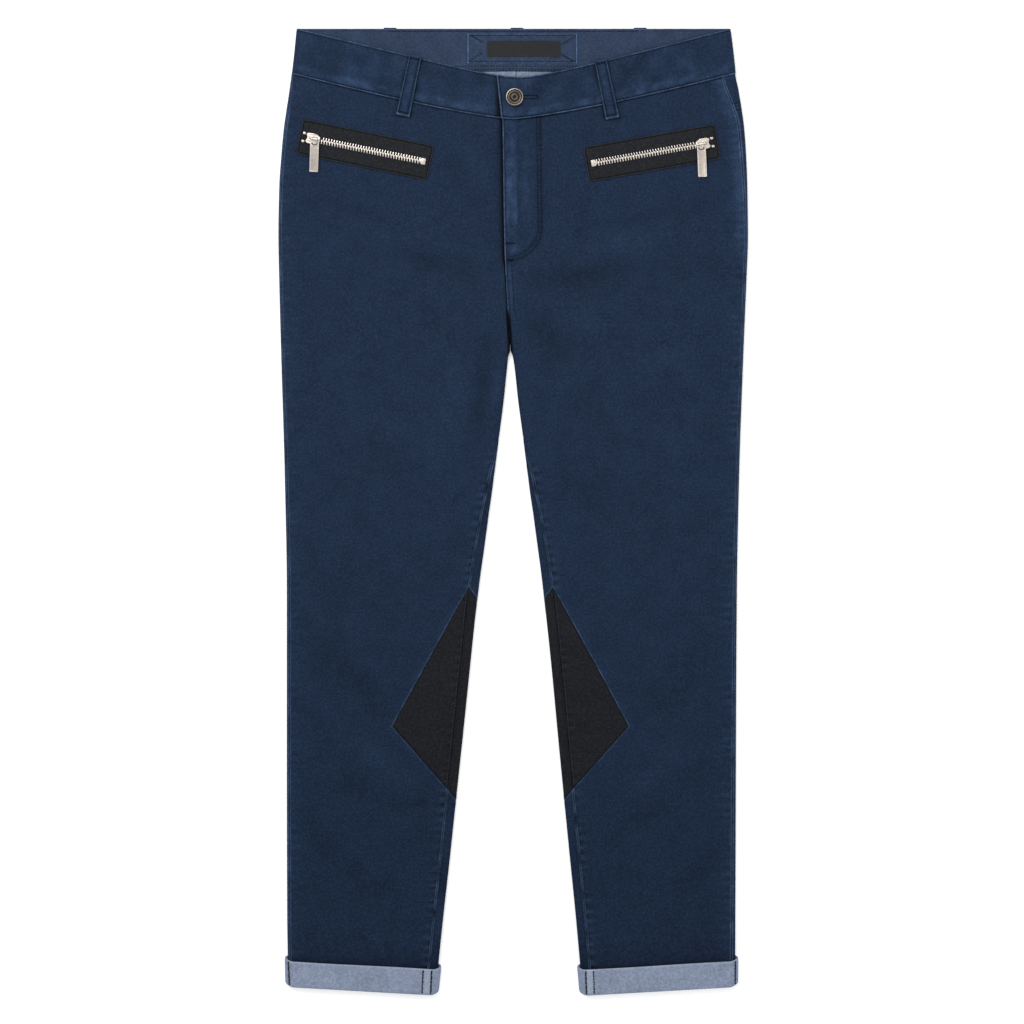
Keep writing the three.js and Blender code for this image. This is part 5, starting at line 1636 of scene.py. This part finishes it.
def loop_paint(across, t, length, from_edge, seed):
    rubbed = patchy(seed, t * length, 0.5, 1.15, 12)
    wear = 0.36 * bell(from_edge - 0.7, 0.45) * rubbed
    foot = bell((1 - t) * length - 1.2, 1)
    wear = wear + foot * (0.15 + 0.5 * bell(np.abs(across) - LOOP["width"] / 2 + 1.4, 1))
    fade = 0.18 + 0.24 * bell(across, 2.2) * (0.6 + 0.5 * ripple(seed + 1, t * length, across, 14))
    groove = bell(np.abs(across) - (LOOP["width"] / 2 - LOOP_INSET), 0.6)
    # painted shade in the stitch grooves and on the loop's rolled edges
    return painted(wear, fade, 0.45 * groove + 0.45 * falling(0.1, 0.7, from_edge))


def front_loop(side):
    x1, foot = FRONT_LOOPS[side]
    top = (x1, float(top_edge(x1)) - LOOP["over_top"])
    x, down, t, across, from_edge = strip_grid(top, foot, LOOP["width"], LOOP["foot"])
    length = math.dist(top, foot)
    paint = loop_paint(across, t, length, from_edge, 91)
    base, shape = loop_base(x, down, t), loop_shape(across, t, length)
    name = f"loop_front_{side}_cloth"
    made, outer = slab(name, x, down, base, LOOP["thick"], from_edge, NAVY, 0.6, shape, paint)
    declare(made, f"loop_front_{side}", "coated_denim", None)
    return loop_stitches(outer)


def loop_stitches(outer):
    """Two rows along a loop and a bar tack at each end, from the grid of its face."""
    up = np.array([0.0, 0, 1])
    rows = []
    centre = outer[:, outer.shape[1] // 2]
    right = unit(outer[:, -1] - outer[:, 0])
    for k in (-1, 1):
        line = centre + right * k * (LOOP["width"] / 2 - LOOP_INSET) - up * THREAD_SUNK
        line = line[np.linspace(6, len(line) - 7, 24).astype(int)]
        rows.append(stitches(line, upward(line), "loop", 93))
    for index in (9, len(centre) - 10):
        for shift in np.linspace(-0.7, 0.7, 3):
            reach = np.linspace(-1, 1, 10)[:, None] * (LOOP["width"] / 2 - 1.3)
            toward = unit(centre[-1] - centre[0]) * shift
            line = centre[index] + toward + right[index] * reach - up * 0.05
            rows.append(stitches(line, upward(line), "loop_tack", 95))
    return rows


def back_loop(name):
    x0 = BACK_LOOPS[name]
    top, foot = (x0, -LOOP["over_top"]), (x0, BACK_LOOP_FOOT)
    x, down, t, across, from_edge = strip_grid(top, foot, LOOP["width"], LOOP["width"])
    length = math.dist(top, foot)
    low = 0.3 + edge_round(from_edge, 0.5) - loop_shape(across, t, length)
    outer = points_at(x, down, np.maximum(low, FLOOR_CLEAR))
    inner = points_at(x, down, 1.2 + 0 * x)
    paint = loop_paint(across, t, length, from_edge, 97)
    made = shell(f"loop_back_{name}_cloth", outer, inner, grid_faces(*x.shape), [NAVY, NAVY], paint)
    declare(made, f"loop_back_{name}", "coated_denim", None)


LABEL_LOW = 0.12  # how high the label's patch lies over the band


def inside_height(down):
    """The inner face of the back of the band, which shows in the waist's opening."""
    return BAND_CLOTH + loop_lift(down)


def label_piece(name, spec, low, cloth, slot, corner, relief, paint):
    u, v, away = round_rectangle(spec["width"], spec["height"], corner, SLAB_NEAR[:7], 1.6)
    x, down = spec["x"] + u, spec["down"] - v
    base, bumps, painting = inside_height(down) + low, relief(u, v, away), paint(u, v, away)
    made, _ = slab(f"{name}_cloth", x, down, base, spec["thick"], away, cloth, 0.35, bumps, painting)
    declare(made, name, slot, None)


def corner_creases(u, v):
    """Creases pressed from the patch's corners towards the label on it: a ridge beside a trough."""
    ridge = trough = 0
    for sx in (-1, 1):
        for sy in (-1, 1):
            corner = np.array([sx * (LABEL_PATCH["width"] / 2 - 2), sy * (LABEL_PATCH["height"] / 2 - 2)])
            target = np.array([sx * 36.5, sy * 4.0])
            along = unit(target - corner)
            off = (u - corner[0]) * along[1] - (v - corner[1]) * along[0]
            reach = (u - corner[0]) * along[0] + (v - corner[1]) * along[1]
            size = hump(0, 2, 12, 17, reach)
            ridge = ridge + size * bell(off - 0.8, 0.8)
            trough = trough + size * bell(off + 0.7, 0.7)
    return ridge, trough


def pressed_corners(u, v, away):
    ridge, trough = corner_creases(u, v)
    return 0.3 * ridge - 0.35 * trough + 0.06 * ripple(101, u, v, 15) * smooth(0, 2, away)


def patch_paint(u, v, away):
    ridge, trough = corner_creases(u, v)
    sides = bell(np.abs(u) - LABEL_PATCH["width"] / 2 + 0.6, 0.5)
    ends = bell(np.abs(v) - LABEL_PATCH["height"] / 2 + 0.5, 0.45)
    wear = sides * patchy(103, v, 0.7, 1.1, 9) + 0.6 * ends * patchy(105, u, 0.3, 1.1, 7)
    # painted light on the corner creases' ridges, painted shade in their troughs and in the stitch groove
    return painted(wear, 0.25 + 0.55 * ridge, 0.4 * bell(away - 1.7, 0.6) + 0.85 * trough)


def woven_edge(_, v, away):
    return 0.06 * np.sin(v * 7) * bell(away - 0.4, 0.4)


def plain_paint(_u, _v, away):
    return painted(0.25 * bell(away - 0.3, 0.3), 0.1, 0)


def inside_labels():
    """The label's patch, and on it the label and the size tab, both left bare."""
    forms = (pressed_corners, patch_paint)
    label_piece("label_patch", LABEL_PATCH, LABEL_LOW, INSIDE, "coated_denim", 0.8, *forms)
    low = LABEL_LOW + LABEL_PATCH["thick"] + 0.06
    for name, spec in (("label", LABEL), ("size_tab", SIZE_TAB)):
        label_piece(name, spec, low, LABEL_CLOTH, "woven_label", 0.5, woven_edge, plain_paint)


def inside_line(x, down, low):
    x, down = together(x, down)
    place = points_at(x, down, inside_height(down) + low)
    return place, upward(place)


# ------------------------------------------------------------------ metal
def rounded(bm, edges, bevel, segments):
    """Rounds the edges of a shape, and gives its points and faces."""
    bmesh.ops.bevel(bm, geom=edges, offset=bevel, segments=segments, affect="EDGES", profile=0.6)
    bmesh.ops.recalc_face_normals(bm, faces=bm.faces[:])
    bm.verts.index_update()
    points = np.array([v.co[:] for v in bm.verts])
    faces = [tuple(v.index for v in f.verts) for f in bm.faces]
    bm.free()
    return points, faces


def block(size, bevel, segments, at=(0, 0, 0), turn=0):
    """A box with rounded edges, turned about Z by degrees and then moved."""
    bm = bmesh.new()
    bmesh.ops.create_cube(bm, size=1)
    bmesh.ops.scale(bm, vec=size, verts=bm.verts)
    return moved(rounded(bm, bm.edges[:], bevel, segments), at, turn)


def plate(outline, low, high, bevel, segments=2):
    """An outline raised into a plate whose edges are rounded."""
    bm = bmesh.new()
    ring = [bm.verts.new((x, y, low)) for x, y in outline]
    face = bm.faces.new(ring)
    raised = bmesh.ops.extrude_face_region(bm, geom=[face])["geom"]
    verts = [v for v in raised if isinstance(v, bmesh.types.BMVert)]
    bmesh.ops.translate(bm, vec=(0, 0, high - low), verts=verts)
    edges = [e for e in bm.edges if abs(e.verts[0].co.z - e.verts[1].co.z) < 1e-6]
    return rounded(bm, edges, bevel, segments)


def tube_along(line, radius, sides):
    """A round bar along a line of points, closed at both ends."""
    line = np.asarray(line, float)
    ahead = unit(np.gradient(line, axis=0))
    helper = np.where(np.abs(ahead[:, 2:3]) > 0.9, [[1.0, 0, 0]], [[0, 0, 1.0]])
    a = unit(np.cross(ahead, helper))
    b = np.cross(ahead, a)
    turn = np.arange(sides) * 2 * math.pi / sides
    spoke = a[:, None] * np.cos(turn)[:, None] + b[:, None] * np.sin(turn)[:, None]
    points = (line[:, None] + spoke * radius).reshape(-1, 3)
    faces = [tuple(f) for f in grid_faces(len(line), sides, close=True)]
    faces += [tuple(range(sides))[::-1], tuple(range((len(line) - 1) * sides, len(line) * sides))]
    return points, faces


def moved(shape, by=(0, 0, 0), turn=0.0):
    """A shape turned about Z by degrees, then moved."""
    points, faces = shape
    c, s = math.cos(math.radians(turn)), math.sin(math.radians(turn))
    return points @ np.array([[c, s, 0], [-s, c, 0], [0, 0, 1]]) + by, faces


def joined(shapes):
    points, faces, start = [], [], 0
    for p, f in shapes:
        points.append(p)
        faces += [tuple(v + start for v in face) for face in f]
        start += len(p)
    return np.concatenate(points), faces


def metal(name, shape, node_name, body="root", material=NICKEL, paint=None):
    made = new_object(name, *shape, [material], paint=paint, sharp=35)
    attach(made, body)
    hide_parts(node_name)


TOOTH = {"pitch": 2.62, "along": 1.02, "across": 3.9, "high": 1.3, "middle": 1.25, "slant": 7, "low": 0.75}
BOTTOM_STOP = {"beyond": 2.6, "length": 4.6, "width": 6.3}
TOP_STOP = {"beyond": 8.9, "across": 3.9}


def on_zip(side, shape, a, b, low, turn=0.0):
    """Stands a shape of the pocket's own frame on the patch."""
    along, _ = pocket_axes(side)
    x, down = pocket_place(side, a, b)
    z = float(front_height(x, down)) + PATCH["top"] + low
    angle = math.degrees(math.atan2(-along[1], along[0]))
    return moved(shape, (float(x), float(to_y(down)), z), angle + turn)


def zip_teeth(side):
    tooth = block((TOOTH["along"], TOOTH["across"], TOOTH["high"]), 0.34, 2)
    from_end, to_end = -POCKET["end"] + 0.3, POCKETS[side][3] - 6.2
    count = int((to_end - from_end) / TOOTH["pitch"])
    shapes = []
    for k in range(count):
        for half, offset in ((-1, 0.75), (1, 0.25)):
            a, slant = from_end + (k + offset) * TOOTH["pitch"], half * TOOTH["slant"] * SIGN[side]
            shapes.append(on_zip(side, tooth, a, half * TOOTH["middle"], TOOTH["low"], slant))
    metal(f"zip_chain_{side}_teeth", joined(shapes), f"zip_chain_{side}")


def zip_stops(side):
    long, wide = BOTTOM_STOP["length"], BOTTOM_STOP["width"]
    body = block((long, wide, 1.7), 0.75, 3, (0, 0, 0.95))
    lug = block((1.7, 3.4, 1.0), 0.4, 2, (long / 2 + 0.3, 0, 0.8))
    at = -POCKET["end"] - BOTTOM_STOP["beyond"]
    bottom = on_zip(side, joined([body, lug]), at, 0, 0)
    metal(f"zip_bottom_stop_{side}_metal", bottom, f"zip_bottom_stop_{side}")
    bead = block((3.0, 2.5, 1.7), 0.8, 3, (0, 0, 0.95))
    at = POCKETS[side][3] + TOP_STOP["beyond"]
    for name, way in (("upper", 1), ("lower", -1)):
        node_name = f"zip_top_stop_{name}_{side}"
        metal(f"{node_name}_metal", on_zip(side, bead, at, way * TOP_STOP["across"], 0), node_name)


SLIDER = {"half": 7.1, "wide": 5.3, "narrow": 3.9, "low": 0.2}
CROWN = {"back": 2, "reach": 4.2, "radius": 0.66}


def slider_outline(share):
    """The slider's face from above: narrow over the closed chain, wide where the rows part."""
    points = []
    for t in np.linspace(0, 2 * math.pi, 48, endpoint=False):
        a, b = math.cos(t), math.sin(t)
        half = lerp(SLIDER["narrow"], SLIDER["wide"], float(smooth(-0.75, 0.1, a)))
        notch = 1.5 * float(bell(b, 0.22)) * (a > 0.6)
        x = SLIDER["half"] * np.sign(a) * abs(a) ** 0.5 - notch
        points.append((x * share, half * share * np.sign(b) * abs(b) ** 0.5))
    return points


def zip_slider(side):
    """A waisted body over the chain, notched where its rows part, with a rim, and the crown on two
    posts that the pull hangs from."""
    back, reach = -CROWN["back"], CROWN["reach"]
    low = plate(slider_outline(1.0), 0.9, 2.0, 0.35, 2)
    cover = plate(slider_outline(0.97), 1.9, 2.8, 0.4, 3)
    nose = block((1.8, 4.6, 1.6), 0.5, 2, (-6.0, 0, 2.5))
    # a thin dark plate under the crown bar, painted as the shadow that the bar casts
    shade_plate = block((9.6, 2.7, 0.3), 0.1, 1, (back + 0.4, 0, 2.72))
    rim = [block((8.6, 0.9, 0.7), 0.28, 2, (1.2, k * 4.25, 2.95), -k * 2) for k in (-1, 1)]
    cheeks = [block((5.2, 1.15, 1.1), 0.35, 2, (1.6, k * 1.9, 3.0)) for k in (-1, 1)]
    posts = [block((1.6, 1.9, 2.3), 0.35, 2, (k * 3.5 + back, 0, 3.7)) for k in (-1, 1)]
    arch = [(a, 0, 4.72 + 0.28 * math.cos(a / 4.3 * math.pi / 2)) for a in np.linspace(-3.9, 3.9, 11)]
    crown = [(-reach, 0, 4.4)] + arch + [(reach, 0, 4.4)]
    bar = moved(tube_along(crown, CROWN["radius"], 12), (back, 0, 0))
    # the lower plate and the shade plate are darkened as painted shade
    bright, tarnished_and_shaded = [cover, nose, bar] + rim + cheeks + posts, [low, shade_plate]
    place = on_zip(side, joined(bright + tarnished_and_shaded), POCKETS[side][3], 0, SLIDER["low"])
    metal(f"slider_{side}_metal", place, f"slider_{side}", paint=tarnish_and_shade_paint((bright, 0), (tarnished_and_shaded, 0.8)))


def tarnish_and_shade_paint(*groups):
    """Paint for shapes joined in this order, each group darkened to its own depth: tarnish in
    recesses, and painted shade on parts that lie in shadow.
    """
    depths = [np.full(len(points), depth) for shapes, depth in groups for points, _ in shapes]
    return painted(0, 0, np.concatenate(depths))


PULL = {"length": 31.6, "width": 8.4, "thick": 1.2, "rim": 1.1, "sunk": 0.3, "droop": 9, "lean": 2.6}
PULL_TURN = {side: -SIGN[side] * (POCKETS[side][2] - PULL["lean"]) for side in SIDES}
EYE = {"half": 2.3, "straight": 2.1, "radius": 1.62, "bore": 1.05}


def pull_tab(side, joint):
    """A flat tab with a raised rim round a sunken panel and an eyelet under the crown, hung by a
    rolled eye. The eyelet is painted black as the shadow in the gap under the crown."""
    half, length, thick = PULL["width"] / 2, PULL["length"], PULL["thick"]
    rim, sunk = PULL["rim"], PULL["sunk"]
    top, low, high = -1.9, thick / 2 - sunk - 0.1, thick / 2
    middle, tall = (low + high) / 2, high - low
    right = [(half - 0.8, -length), (half, -length + 0.8)]
    right += [(half, top - 1.6), (half - 0.7, top - 0.7), (2.1, top)]
    left = [(-x, y) for x, y in right]
    core = plate(left[1::-1] + right + left[:1:-1], -thick / 2, thick / 2 - sunk, 0.16, 2)
    upright, at_y = (rim, length + top - 1.6, tall), (-length + top - 1.4) / 2
    sides = [block(upright, 0.14, 2, (k * (half - rim / 2 - 0.04), at_y, middle)) for k in (-1, 1)]
    foot = block((2 * half - 1.2, rim, tall), 0.14, 2, (0, -length + rim / 2 + 0.1, middle))
    bridge = block((2 * half - 0.6, 1.3, tall), 0.14, 2, (0, top - 4.5, middle))
    neck = block((4.0, 2.0, 1.3), 0.3, 2, (0, top + 0.5, 0))
    turns = np.linspace(-1.12 * math.pi, 0.12 * math.pi, 25)
    arc = [(2.4 * math.cos(t), top - 2.0 + 1.7 * math.sin(t), high - 0.05) for t in turns]
    eyelet = tube_along(arc, 0.46, 8)
    bright = [moved(s, turn=PULL_TURN[side]) for s in [foot, bridge, neck] + sides] + [eye_ring()]
    # the sunken panel a little darker as tarnish, its sides a painted dark outline, and the eyelet black as
    # painted shadow
    tarnished_and_shaded, dark = [moved(core, turn=PULL_TURN[side])], [moved(eyelet, turn=PULL_TURN[side])]
    points, faces = joined(bright + tarnished_and_shaded + dark)
    paint = tarnish_and_shade_paint((bright, 0), (tarnished_and_shaded, 0.16), (dark, 1))
    droop = math.radians(PULL["droop"])
    c, s = math.cos(droop), math.sin(droop)
    tilt = np.array([[1, 0, 0], [0, c, -s], [0, s, c]])
    axis = np.array(joint["axis"]) * -1
    angle = math.degrees(math.atan2(axis[1], axis[0]))
    place = np.array(joint["pos_m"]) / MM
    shape = moved((points @ tilt.T, faces), place, angle)
    metal(f"pull_{side}_metal", shape, f"pull_{side}", joint["child"], paint=paint)


def eye_ring():
    """The rolled eye: a short thick tube along the hinge's axis."""
    turn = np.arange(20) * 2 * math.pi / 20
    half, straight, radius, bore = EYE.values()
    end = [(half, bore), (half, radius - 0.15), (straight, radius)]
    profile = [(-x, r) for x, r in end] + end[::-1]
    points = np.array([(x, r * math.cos(t), r * math.sin(t)) for t in turn for x, r in profile])
    faces = grid_faces(len(turn) + 1, len(profile), close=True)
    return points, [tuple(v % len(points) for v in f)[::-1] for f in faces]


def button():
    """A jeans button: a rolled rim, two rings and a small dome in a dark dish."""
    r, h = BUTTON["radius"], BUTTON["height"]
    shank = [(3.6, 0), (3.6, 1), (r - 0.9, 1)]
    rim = [(r - 0.25, 1.25), (r, 1.75), (r - 0.02, 2.3), (r - 0.3, 2.75), (r - 0.75, h), (r - 1.25, h - 0.05)]
    rim += [(r - 1.6, h - 0.4), (r - 1.8, h - 0.85), (r - 2.2, h - 0.95)]
    outer_ring = [(r - 2.5, h - 0.6), (r - 2.85, h - 0.5), (r - 3.2, h - 0.62), (r - 3.5, h - 0.95)]
    inner_ring = [(4.1, h - 1.05), (3.6, h - 0.85), (3.0, h - 0.6), (2.3, h - 0.45), (1.9, h - 0.6)]
    profile = shank + rim + outer_ring + inner_ring + [(1.5, h - 0.95), (0.8, h - 1.05)]
    turn = np.arange(64) * 2 * math.pi / 64
    foot = float(band_face(np.array(BUTTON["x"]))) + 0.3
    points = [(rad * math.cos(t), rad * math.sin(t), z) for t in turn for rad, z in profile]
    points = np.array(points + [(0, 0, h - 1.08), (0, 0, 0)])
    n, m = len(turn), len(profile)
    faces = []
    for i in range(n):
        j = (i + 1) % n
        faces += [(i * m + k, j * m + k, j * m + k + 1, i * m + k + 1) for k in range(m - 1)]
        faces += [(i * m + m - 1, j * m + m - 1, n * m), (j * m, i * m, n * m + 1)]
    radius = np.hypot(points[:, 0], points[:, 1])
    bright = bell(radius - r + 0.7, 0.7) + 0.5 * bell(radius - r + 2.9, 0.5) + 0.3 * bell(radius - 2.5, 0.8)
    shape = moved((points, faces), (BUTTON["x"], to_y(BUTTON["down"]), foot))
    metal("button_metal", shape, "button", "root", BUTTON_METAL, painted(bright))


# ------------------------------------------------------------------ rows of stitches
def band_rows():
    """The rows along the band's edges, front and back, and down its left end."""
    rows = []
    share = BAND_INSET / BAND_SEAM["side"]
    for side in SIDES:
        for h in (share, 1 - share):
            front_end, back_end = band_ends(side, h)
            way = np.linspace(front_end - 2.2, back_end + 1, 300)
            rows.append(stitches(*band_row(side, way, h + 0 * way), "seam", 111))
    h = np.linspace(0.05, 0.95, 30)
    front_end, _ = band_ends("left", h)
    rows.append(stitches(*band_row("left", front_end - 2.4, h), "seam", 113))
    return rows


def fly_rows():
    """The J's two rows, the bar tacks, and the row beside the crotch seam."""
    rows = []
    for reach, low in J_ROWS:
        tall = low - FLY["straight"]
        bend = FLY["straight"] + tall * np.sin(np.linspace(0.05, 1.45, 30))
        down = np.concatenate([np.linspace(J_TOP, FLY["straight"], 60), bend])
        turn = np.clip((down - FLY["straight"]) / tall, 0, 1)
        x = centre_front(down) + reach * np.sqrt(1 - turn**2)
        down = np.maximum(down, band_seam(x) + 1.2)
        rows.append(stitches(*on_front("left", x, down), "fly", 121))
    for down, length in ((206, 9), (222, 7)):
        for shift in (-0.5, 0, 0.5):
            x = centre_front(down) + np.linspace(1.6, 1.6 + length, 10)
            rows.append(stitches(*on_front("left", x, down + shift + 0 * x), "fly_tack", 123))
    down = np.linspace(226, FORK - 38, 40)
    rows.append(stitches(*on_front("left", centre_front(down) + 6.6, down), "seam", 125))
    return rows


def buttonhole():
    """Whipped thread round the eyelet buttonhole that shows beside the button."""
    start, end, half = BUTTON["x"] + 5, 22.2, 1.55
    turn, straight = np.linspace(0, math.pi, 9)[1:-1], np.full(20, half)
    edge = np.linspace(start, end, len(straight))
    x = np.concatenate([edge, end + half * np.sin(turn), edge[::-1]])
    down = BUTTON["down"] + np.concatenate([-straight, -half * np.cos(turn), straight])
    line = points_at(x, down, band_face(x) - THREAD_SUNK)
    return [stitches(line, upward(line), "buttonhole", 131)]


FELLED = (1.7, 6.2)  # how far the two rows of a felled seam lie from it


def back_rows():
    """The yoke's seam and the back rise are sewn down with two rows each."""
    rows = []
    for side in SIDES:
        for offset in FELLED:
            station = YOKE["side"] + offset
            _, _, span, seam, side_seam = half_row(side, "back", np.array(station))
            s = np.linspace(float(seam) - 1, float(-span - side_seam) + 1, 220)
            rows.append(stitches(*on_pattern(side, "back", s, station), "seam", 141))
    station = np.linspace(YOKE["side"] + 1, FORK - 22, 120)
    _, _, _, seam, _ = half_row("left", "back", station)
    for offset in FELLED:
        rows.append(stitches(*on_pattern("left", "back", seam - offset, station), "seam", 143))
    return rows


def kite_rows(side):
    """Grey stitches down the kite's inner edge, beside the inside-leg seam."""
    station = np.linspace(KITE["top"] + 4, KITE["bottom"] - 3, 80)
    _, _, _, seam, _ = half_row(side, "front", station)
    return [stitches(*on_pattern(side, "front", seam + 1.5, station), "kite", 151)]


def inside_rows():
    """Stitches on the inside of the back of the band: its edges and the label's patch."""
    rows = []
    for down in (2.6, 36, 40.2):
        x = np.linspace(-120, 120, 90)
        rows.append(stitches(*inside_line(x, down, -0.05), "seam", 161))
    half_w, half_h = LABEL_PATCH["width"] / 2, LABEL_PATCH["height"] / 2
    x = LABEL_PATCH["x"] + np.linspace(-half_w + 1, half_w - 1, 60)
    low = LABEL_LOW + LABEL_PATCH["thick"] - 0.1
    for v in (-half_h + 1.5, half_h - 1.5):
        rows.append(stitches(*inside_line(x, LABEL_PATCH["down"] - v, low), "seam", 163))
    return rows


def sew_everything():
    sew("stitches_waistband", band_rows(), NAVY_THREAD)
    sew("stitches_fly", fly_rows() + buttonhole(), NAVY_THREAD)
    sew("stitches_back", back_rows(), NAVY_THREAD)
    sew("stitches_inside", inside_rows(), NAVY_THREAD)
    for side in SIDES:
        sew(f"stitches_patch_{side}", patch_stitches(side), BLACK_THREAD)
        sew(f"stitches_kite_{side}", kite_rows(side), GREY_THREAD)
        sew(f"stitches_turn_up_{side}", serged_lines(side), NAVY_THREAD)


# ------------------------------------------------------------------ the jeans
loop_rows = []
for side in SIDES:
    dress_panel(side, "back")
    dress_yoke(side)
    dress_panel(side, "front")
for side in SIDES:
    waistband(side)
    turn_up(side)
    pocket_patch(side)
    loop_rows += front_loop(side)
    zip_teeth(side)
    zip_stops(side)
    zip_slider(side)
    joint = next(j for j in frame["joints"] if j["child"] == f"pull_{side}")
    pull_tab(side, joint)
for name in BACK_LOOPS:
    back_loop(name)
inside_labels()
button()
sew("stitches_loops", loop_rows, NAVY_THREAD)
sew_everything()
# two solids that show as they are, behind the fly's edge
for name, material in (("fly_zip", BLACK), ("fly_shield", NAVY)):
    frame["nodes"][name].data.materials.clear()
    frame["nodes"][name].data.materials.append(material)


# ------------------------------------------------------------------ stage, light and camera
def area_light(name, place, aim, size, power):
    data = bpy.data.lights.new(name, "AREA")
    data.shape = "RECTANGLE"
    data.size, data.size_y = size
    data.energy = power
    light = bpy.data.objects.new(name, data)
    light.location = place
    light.rotation_euler = (Vector(aim) - Vector(place)).to_track_quat("-Z", "Y").to_euler()
    bpy.context.scene.collection.objects.link(light)


def floor_material():
    material, tree, shader = principled("floor_pale")
    cloud = noise_value(tree, object_place(tree), 3)
    tint = mix_colour(tree, cloud, (0.97, 0.97, 0.97, 1), (0.99, 0.99, 0.99, 1))
    tree.links.new(tint, shader.inputs["Base Color"])
    shader.inputs["Roughness"].default_value = 0.9
    shader.inputs["Specular IOR Level"].default_value = 0.1
    # lit a little from within, as a light table is, so shadows on it stay faint
    shader.inputs["Emission Color"].default_value = (1, 1, 1, 1)
    shader.inputs["Emission Strength"].default_value = 0.3
    return material


FLOOR = {"half": 6000, "below": 0.4}
square = ((-1, -1), (1, -1), (1, 1), (-1, 1))
corners = [(x * FLOOR["half"], y * FLOOR["half"], -FLOOR["below"]) for x, y in square]
floor = new_object("floor", corners, [(0, 1, 2, 3)], [floor_material()])

scene = bpy.context.scene
scene.view_settings.view_transform = "Standard"
world = bpy.data.worlds.new("studio")
world.use_nodes = True
sky = world.node_tree.nodes["Background"]
sky.inputs["Color"].default_value = (1, 1, 1, 1)
sky.inputs["Strength"].default_value = 0.64
scene.world = world
# each lamp's place, what it aims at, its size and its power, in metres and watts
area_light("key", (-0.9, 1.5, 2.2), (0, 0.05, 0), (1.8, 1.2), 40)
area_light("fill", (1.5, -0.6, 2.0), (0, -0.1, 0), (1.6, 1.6), 12)

# the width that the picture shows, and where the camera stands over it
VIEW = {"width": 983.04, "x": -0.96, "y": -0.7, "height": 5000}
SENSOR = 36
camera_data = bpy.data.cameras.new("camera")
camera_data.sensor_width = SENSOR
camera_data.lens = SENSOR * VIEW["height"] / VIEW["width"]
camera_data.clip_end = 100
camera = bpy.data.objects.new("camera", camera_data)
camera.location = (VIEW["x"] * MM, VIEW["y"] * MM, VIEW["height"] * MM)
scene.collection.objects.link(camera)
scene.camera = camera
